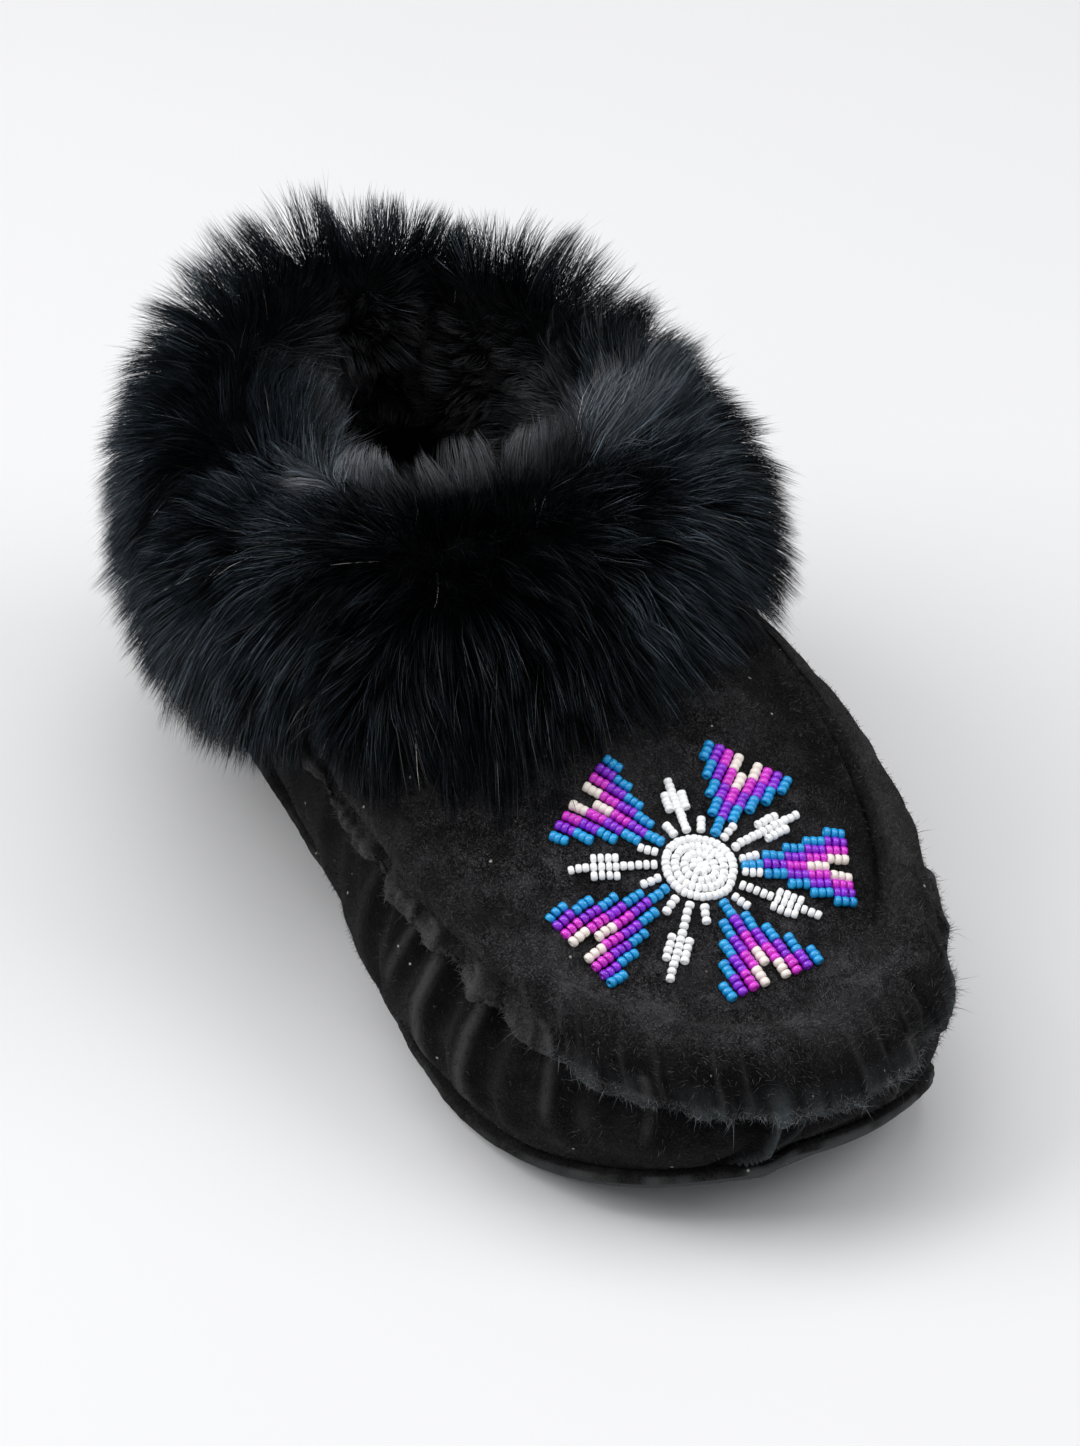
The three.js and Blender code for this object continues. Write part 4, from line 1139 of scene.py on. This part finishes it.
# Loose guard hairs, and a few pale ones
LOOSE_WIDTH = 0.14
PALE_WIDTH = 0.13
LOOSE_FUR = hair_material("fur_loose", (0.012, 0.012, 0.013), roughness=0.35, specular=0.5)
PALE_FUR = hair_material("fur_pale", (0.42, 0.40, 0.38), roughness=0.5, specular=0.4)
points, facing, _, _ = grow_hair(count=4000, seed=91, wander=20, pull_scale=0.25, length_scale=1.12)
ribbon_piece("fur_loose_hair", points, facing, [w * LOOSE_WIDTH for w in HAIR_WIDTHS], [LOOSE_FUR])
points, facing, _, _ = grow_hair(count=70, seed=95, wander=24, pull_scale=0.2)
ribbon_piece("fur_pale_hair", points, facing, [w * PALE_WIDTH for w in HAIR_WIDTHS], [PALE_FUR])

# Frayed fibres along the raw edge of the flange
FRAY_FIBRES = 8000
FIRST_FRAYED = 4
TOE_TONE_FROM = 0.5
FIBRE = Values(sink=0.3, stray=0.75, curl=0.45, twist=1.5, widths=[0.13, 0.10])
FIBRE_LENGTH = Values(shape=2.2, scale=0.46)
fray_draw = np.random.default_rng(seed=101)
edge_rows = outer[FIRST_FLANGE + FIRST_FRAYED:FIRST_LEDGE]
columns = fray_draw.integers(0, RING, size=FRAY_FIBRES)
columns = columns[fray_draw.uniform(size=FRAY_FIBRES) < strength[columns]]
count = len(columns)
share = fray_draw.uniform(size=count)[:, None]
rows = fray_draw.integers(0, len(edge_rows), size=count)
root = edge_rows[rows, columns] * (1 - share) + edge_rows[rows, (columns + 1) % RING] * share
heading = unit(ring_outward[columns] + fray_draw.normal(size=(count, 3)) * FIBRE.stray)
length = fray_draw.gamma(FIBRE_LENGTH.shape, FIBRE_LENGTH.scale, size=count)[:, None]
curl = fray_draw.normal(size=(count, 3)) * FIBRE.curl
root = root - ring_outward[columns] * FIBRE.sink
points = np.array([root + (heading * s + curl * s * s) * length for s in (0.0, 0.5, 1.0)])
facing = twisted(np.tile(UP, (count, 1)), heading, fray_draw, FIBRE.twist)
fray_tones = [hair_material("fray_fibre", (0.060, 0.057, 0.056), roughness=0.8, specular=0.2),
              hair_material("fray_fibre_toe", (0.100, 0.112, 0.118), roughness=0.8, specular=0.2)]
ribbon_piece("flange_fray", points, facing, FIBRE.widths, fray_tones,
             face_material=np.tile(toe_front[columns] > TOE_TONE_FROM, 2))

# Short nap on the suede where the fur leaves it bare: single blades that lie over in patches
NAP_FIBRES = 58000
NAP = Values(sink=0.1, stand=0.55, lie=0.8, stray=0.45, twist=1.0, length=(0.6, 1.7), width=(0.09, 0.17))
NAP_TOE = Values(x=(200, 232), more=0.6)
NAP_LIGHT = Values(share=0.3, wall=0.3)
BARE_BELOW = 50
LIE_AXIS = [0.0, 1.0, 0.3]
nap_draw = np.random.default_rng(seed=111)
outer_rise, outer_run = cell_sizes(outer)
below_collar = np.cumsum(outer_rise[::-1], axis=0)[::-1]
bare = below_collar > BARE_BELOW * flap_length(ring_ribs)
rows, columns, column_share, row_share = pick_cells(outer_rise * outer_run * bare, NAP_FIBRES, nap_draw)
root = blend_at(outer, rows, columns, row_share, column_share)
normal = grid_normals(outer)[rows, columns]
lie_angle = math.pi * soft_noise(root, size=22, seed=112)[:, None]
lie_first = unit(np.cross(normal, LIE_AXIS))
lie = lie_first * np.cos(lie_angle) + np.cross(normal, lie_first) * np.sin(lie_angle)
stray = nap_draw.normal(size=(NAP_FIBRES, 3)) * NAP.stray
heading = unit(NAP.stand * normal + NAP.lie * lie + stray)
toe_more = 1 + NAP_TOE.more * smooth_step(*NAP_TOE.x, root[:, 0])
length = (nap_draw.uniform(*NAP.length, size=NAP_FIBRES) * toe_more)[:, None]
points = np.array([root - normal * NAP.sink, root + heading * length])
facing = twisted(normal, heading, nap_draw, NAP.twist)
width = nap_draw.uniform(*NAP.width, size=NAP_FIBRES)
# Fewer light fibres on the wall, as part of its painted shade
light_share = NAP_LIGHT.share * toe_more * np.where(rows < FIRST_FLANGE, NAP_LIGHT.wall, 1)
nap_tones = [hair_material("nap_fibre", (0.008, 0.0078, 0.0082), roughness=0.9, specular=0.06),
             hair_material("nap_lint", (0.072, 0.069, 0.070), roughness=0.9, specular=0.06)]
ribbon_piece("suede_nap", points, facing, [width], nap_tones,
             face_material=nap_draw.uniform(size=NAP_FIBRES) < light_share)

# Beadwork: seed beads strung in rows on the vamp
BEAD_PITCH = 1.55
ROW_PITCH = 2.5
FIRST_BEAD = 9.2
BEAD = Values(radius=1.2, hole=0.35, half=0.80, sides=11, profile=8, squareness=0.8, stand=0.85)
BEAD_STRAY = 0.05
BEAD_GIRTH = (0.94, 1.05)
BEAD_LENGTH = (0.9, 1.04)
ROSETTE = Values(x=196.4, y=4.6, level_radius=8, level_spots=16)
DROP_HEIGHT = 300
TURQUOISE = bead_material("bead_turquoise", (0.010, 0.40, 0.80), (0.004, 0.27, 0.66))
VIOLET = bead_material("bead_violet", (0.33, 0.022, 0.80), (0.20, 0.012, 0.58))
MAGENTA = bead_material("bead_magenta", (0.78, 0.035, 0.72), (0.60, 0.022, 0.56))
# Cream and crystal beads have a small painted glow: painted light, though they are no lamps
CREAM = bead_material(
    "bead_cream", (0.93, 0.86, 0.80), (0.85, 0.77, 0.71), roughness=0.2, clear=0.4, painted_glow=0.06)
CRYSTAL = bead_material(
    "bead_crystal", (0.97, 0.97, 0.975), (0.84, 0.845, 0.86), roughness=0.14, clear=0.6, painted_glow=0.10)


def drop_on_vamp(x, y):
    hit, normal, _, _ = upper_tree.ray_cast(Vector((x, y, DROP_HEIGHT)), Vector((0, 0, -1)))
    return np.array(hit), np.array(normal)


rosette_middle, _ = drop_on_vamp(ROSETTE.x, ROSETTE.y)
level_turns = np.linspace(0, TAU, ROSETTE.level_spots, endpoint=False)
level_x = ROSETTE.x + ROSETTE.level_radius * np.cos(level_turns)
level_y = ROSETTE.y + ROSETTE.level_radius * np.sin(level_turns)
level_normals = [drop_on_vamp(x, y)[1] for x, y in zip(level_x, level_y)]
rosette_normal = unit(np.mean(level_normals, axis=0))
toeward = unit(np.array([1.0, 0, 0]) - rosette_normal * rosette_normal[0])
aside = np.cross(rosette_normal, toeward)


def rosette_spot(reach, side, turn):
    angle = math.radians(turn)
    ahead = reach * math.cos(angle) - side * math.sin(angle)
    across = reach * math.sin(angle) + side * math.cos(angle)
    spot = rosette_middle + toeward * ahead + aside * across
    return drop_on_vamp(spot[0], spot[1])


bead_around = np.arange(BEAD.sides) * TAU / BEAD.sides
bead_profile = np.arange(BEAD.profile) * TAU / BEAD.profile
profile_radius = ((BEAD.radius + BEAD.hole) / 2
                  + (BEAD.radius - BEAD.hole) / 2 * np.cos(bead_profile))
profile_rise = np.sin(bead_profile)
profile_length = BEAD.half * np.sign(profile_rise) * np.abs(profile_rise) ** BEAD.squareness
bead_faces = grid_faces(BEAD.sides, BEAD.profile, closed_rows=True)[:, [0, 3, 2, 1]]


def bead_shape(bead, draw):
    """One bead with its hole along the axis, a little uneven in size and lie."""
    centre = bead.spot + bead.normal * BEAD.stand * bead.size
    centre = centre + draw.normal(size=3) * BEAD_STRAY
    axis = unit(bead.axis + draw.normal(size=3) * BEAD_STRAY)
    up = unit(bead.normal - axis * (bead.normal @ axis))
    across = np.cross(axis, up)
    girth = bead.size * draw.uniform(*BEAD_GIRTH)
    length = bead.size * draw.uniform(*BEAD_LENGTH)
    ring = np.cos(bead_around)[:, None] * up + np.sin(bead_around)[:, None] * across
    points = ring[:, None, :] * (profile_radius * girth)[:, None] + axis * (profile_length * length)[:, None]
    return centre + points.reshape(-1, 3)


def string_beads(name, materials, beads):
    """Joins beads, each a spot, normal, axis, size and material number, in one piece."""
    draw = np.random.default_rng(len(name) + sum(map(ord, name)))
    points = [bead_shape(bead, draw) for bead in beads]
    faces = np.concatenate([bead_faces + k * len(points[0]) for k in range(len(beads))])
    numbers = np.repeat([bead.material for bead in beads], len(bead_faces))
    make_piece(name, points, [faces], materials, [name], numbers)


def arm_bead(reach, side, turn, size, material):
    spot, normal = rosette_spot(reach, side, turn)
    ahead, _ = rosette_spot(reach + 1, side, turn)
    return Values(spot=spot, normal=normal, axis=unit(ahead - spot), size=size, material=material)


def arm_reach(arm, number):
    return FIRST_BEAD + (number + 0.5) * BEAD_PITCH * arm.stretch


# Chart of a petal: rows either side of its middle row start later, each band of colour is three beads
PETAL = Values(rows=4, band=3, end=15, middle_end=12)
PETAL_GLASS = [TURQUOISE, VIOLET, MAGENTA, CREAM]


def petal_beads(arm):
    beads = []
    for row in range(-PETAL.rows, PETAL.rows + 1):
        first = PETAL.band * abs(row)
        side = row * ROW_PITCH * arm.widen
        for k in range(first, PETAL.end if row else PETAL.middle_end):
            band = min((k - first) // PETAL.band, len(PETAL_GLASS) - 1)
            beads.append(arm_bead(arm_reach(arm, k), side, arm.turn, 1.0, band))
    return beads


# Chart of a ray: rows of beads by swing from its line or place to the side, first bead and last bead
RAY_ROWS = Values(
    swing=[0, -19, 19, 0, 0],
    side=[0, 0, 0, -2.0, 2.0],
    first=[0, 0, 0, 5, 5],
    last=[12, 3, 3, 9, 9],
)
RAY_BEAD = 0.86


def ray_beads(arm):
    return [arm_bead(arm_reach(arm, k), row.side, arm.turn + row.swing, RAY_BEAD, 0)
            for row in rows_of(RAY_ROWS) for k in range(row.first, row.last)]


# Each arm's turn from the toe direction toward the medial side, its length and width against the chart
PETALS = Values(
    turn=[6, 72, 134, 214, 285],
    stretch=[0.97, 1.03, 0.94, 0.94, 1.07],
    widen=[1.10, 0.88, 0.92, 1.10, 1.02],
)
RAYS = Values(turn=[45, 102, 172, 250, 322], stretch=[1.02, 0.98, 0.78, 1.05, 1.07])
for number, arm in enumerate(rows_of(PETALS), 1):
    string_beads(f"bead_petal_{number}", PETAL_GLASS, petal_beads(arm))
for number, arm in enumerate(rows_of(RAYS), 1):
    string_beads(f"bead_ray_{number}", [CRYSTAL], ray_beads(arm))

# The disc in the middle: rings of beads round one bead
DISC_RINGS = [7.4, 5.4, 3.4, 1.5]
AHEAD_TURN = 5
disc_beads = []
for radius in DISC_RINGS:
    count = round(TAU * radius / (BEAD_PITCH * RAY_BEAD))
    for k in range(count):
        turn = 360 * k / count
        spot, normal = rosette_spot(radius, 0, turn)
        ahead, _ = rosette_spot(radius, 0, turn + AHEAD_TURN)
        disc_beads.append(
            Values(spot=spot, normal=normal, axis=unit(ahead - spot), size=RAY_BEAD, material=0))
spot, normal = rosette_spot(0, 0, 0)
disc_beads.append(Values(spot=spot, normal=normal, axis=toeward, size=RAY_BEAD, material=0))
string_beads("bead_disc", [CRYSTAL], disc_beads)

# Floor, light and camera
FLOOR_HALF = 3.0
FLOOR_CORNERS = [(-1, -1), (1, -1), (1, 1), (-1, 1)]
floor_mesh = bpy.data.meshes.new("floor")
floor_mesh.from_pydata([(FLOOR_HALF * x, FLOOR_HALF * y, 0) for x, y in FLOOR_CORNERS], [], [(0, 1, 2, 3)])
floor = add_object("floor", floor_mesh)
floor_material, floor_tree = new_material("floor_paper")
floor_tone = noise(floor_tree, size=180, detail=2)
floor_colour = mix_colour(floor_tree, floor_tone, (0.79, 0.79, 0.80), (0.81, 0.81, 0.82))
dress(floor_tree, {"Base Color": floor_colour, "Roughness": 0.85})
floor_mesh.materials.append(floor_material)

CAMERA_AZIMUTH = math.radians(64)
CAMERA_ELEVATION = math.radians(35)
CAMERA_DISTANCE = 1.0
CAMERA_TARGET = Vector((0.0151, 0.0, 0.055))
plan_front = Vector((math.sin(CAMERA_AZIMUTH), -math.cos(CAMERA_AZIMUTH), 0))
image_right = Vector((math.cos(CAMERA_AZIMUTH), math.sin(CAMERA_AZIMUTH), 0))
toward_camera = plan_front * math.cos(CAMERA_ELEVATION) + Vector((0, 0, math.sin(CAMERA_ELEVATION)))
camera_data = bpy.data.cameras.new("camera")
camera_data.sensor_fit = "HORIZONTAL"
camera_data.sensor_width = 36.0
camera_data.lens = 148.0
camera = add_object("camera", camera_data)
camera.location = CAMERA_TARGET + toward_camera * CAMERA_DISTANCE
camera.rotation_euler = (-toward_camera).to_track_quat("-Z", "Y").to_euler()
bpy.context.scene.camera = camera

LIGHTS = [
    Values(name="overhead", right=-0.15, front=-0.15, up=1.5, size=1.6, power=13),
    Values(name="left_fill", right=-1.4, front=0.0, up=1.2, size=1.4, power=17),
    Values(name="right_fill", right=1.3, front=0.1, up=1.3, size=1.3, power=10),
    Values(name="front_fill", right=-0.3, front=1.3, up=1.2, size=1.3, power=3),
]
for entry in LIGHTS:
    data = bpy.data.lights.new(entry.name, "AREA")
    data.shape = "DISK"
    data.size = entry.size
    data.energy = entry.power
    lamp = add_object(entry.name, data)
    away = image_right * entry.right + plan_front * entry.front + Vector((0, 0, entry.up))
    lamp.location = CAMERA_TARGET + away
    lamp.rotation_euler = (-away).to_track_quat("-Z", "Y").to_euler()

bpy.context.scene.view_settings.view_transform = "Standard"
world = bpy.data.worlds.new("studio")
bpy.context.scene.world = world
world.use_nodes = True
background = world.node_tree.nodes["Background"]
background.inputs["Color"].default_value = (0.97, 0.98, 1.0, 1)
background.inputs["Strength"].default_value = 0.26
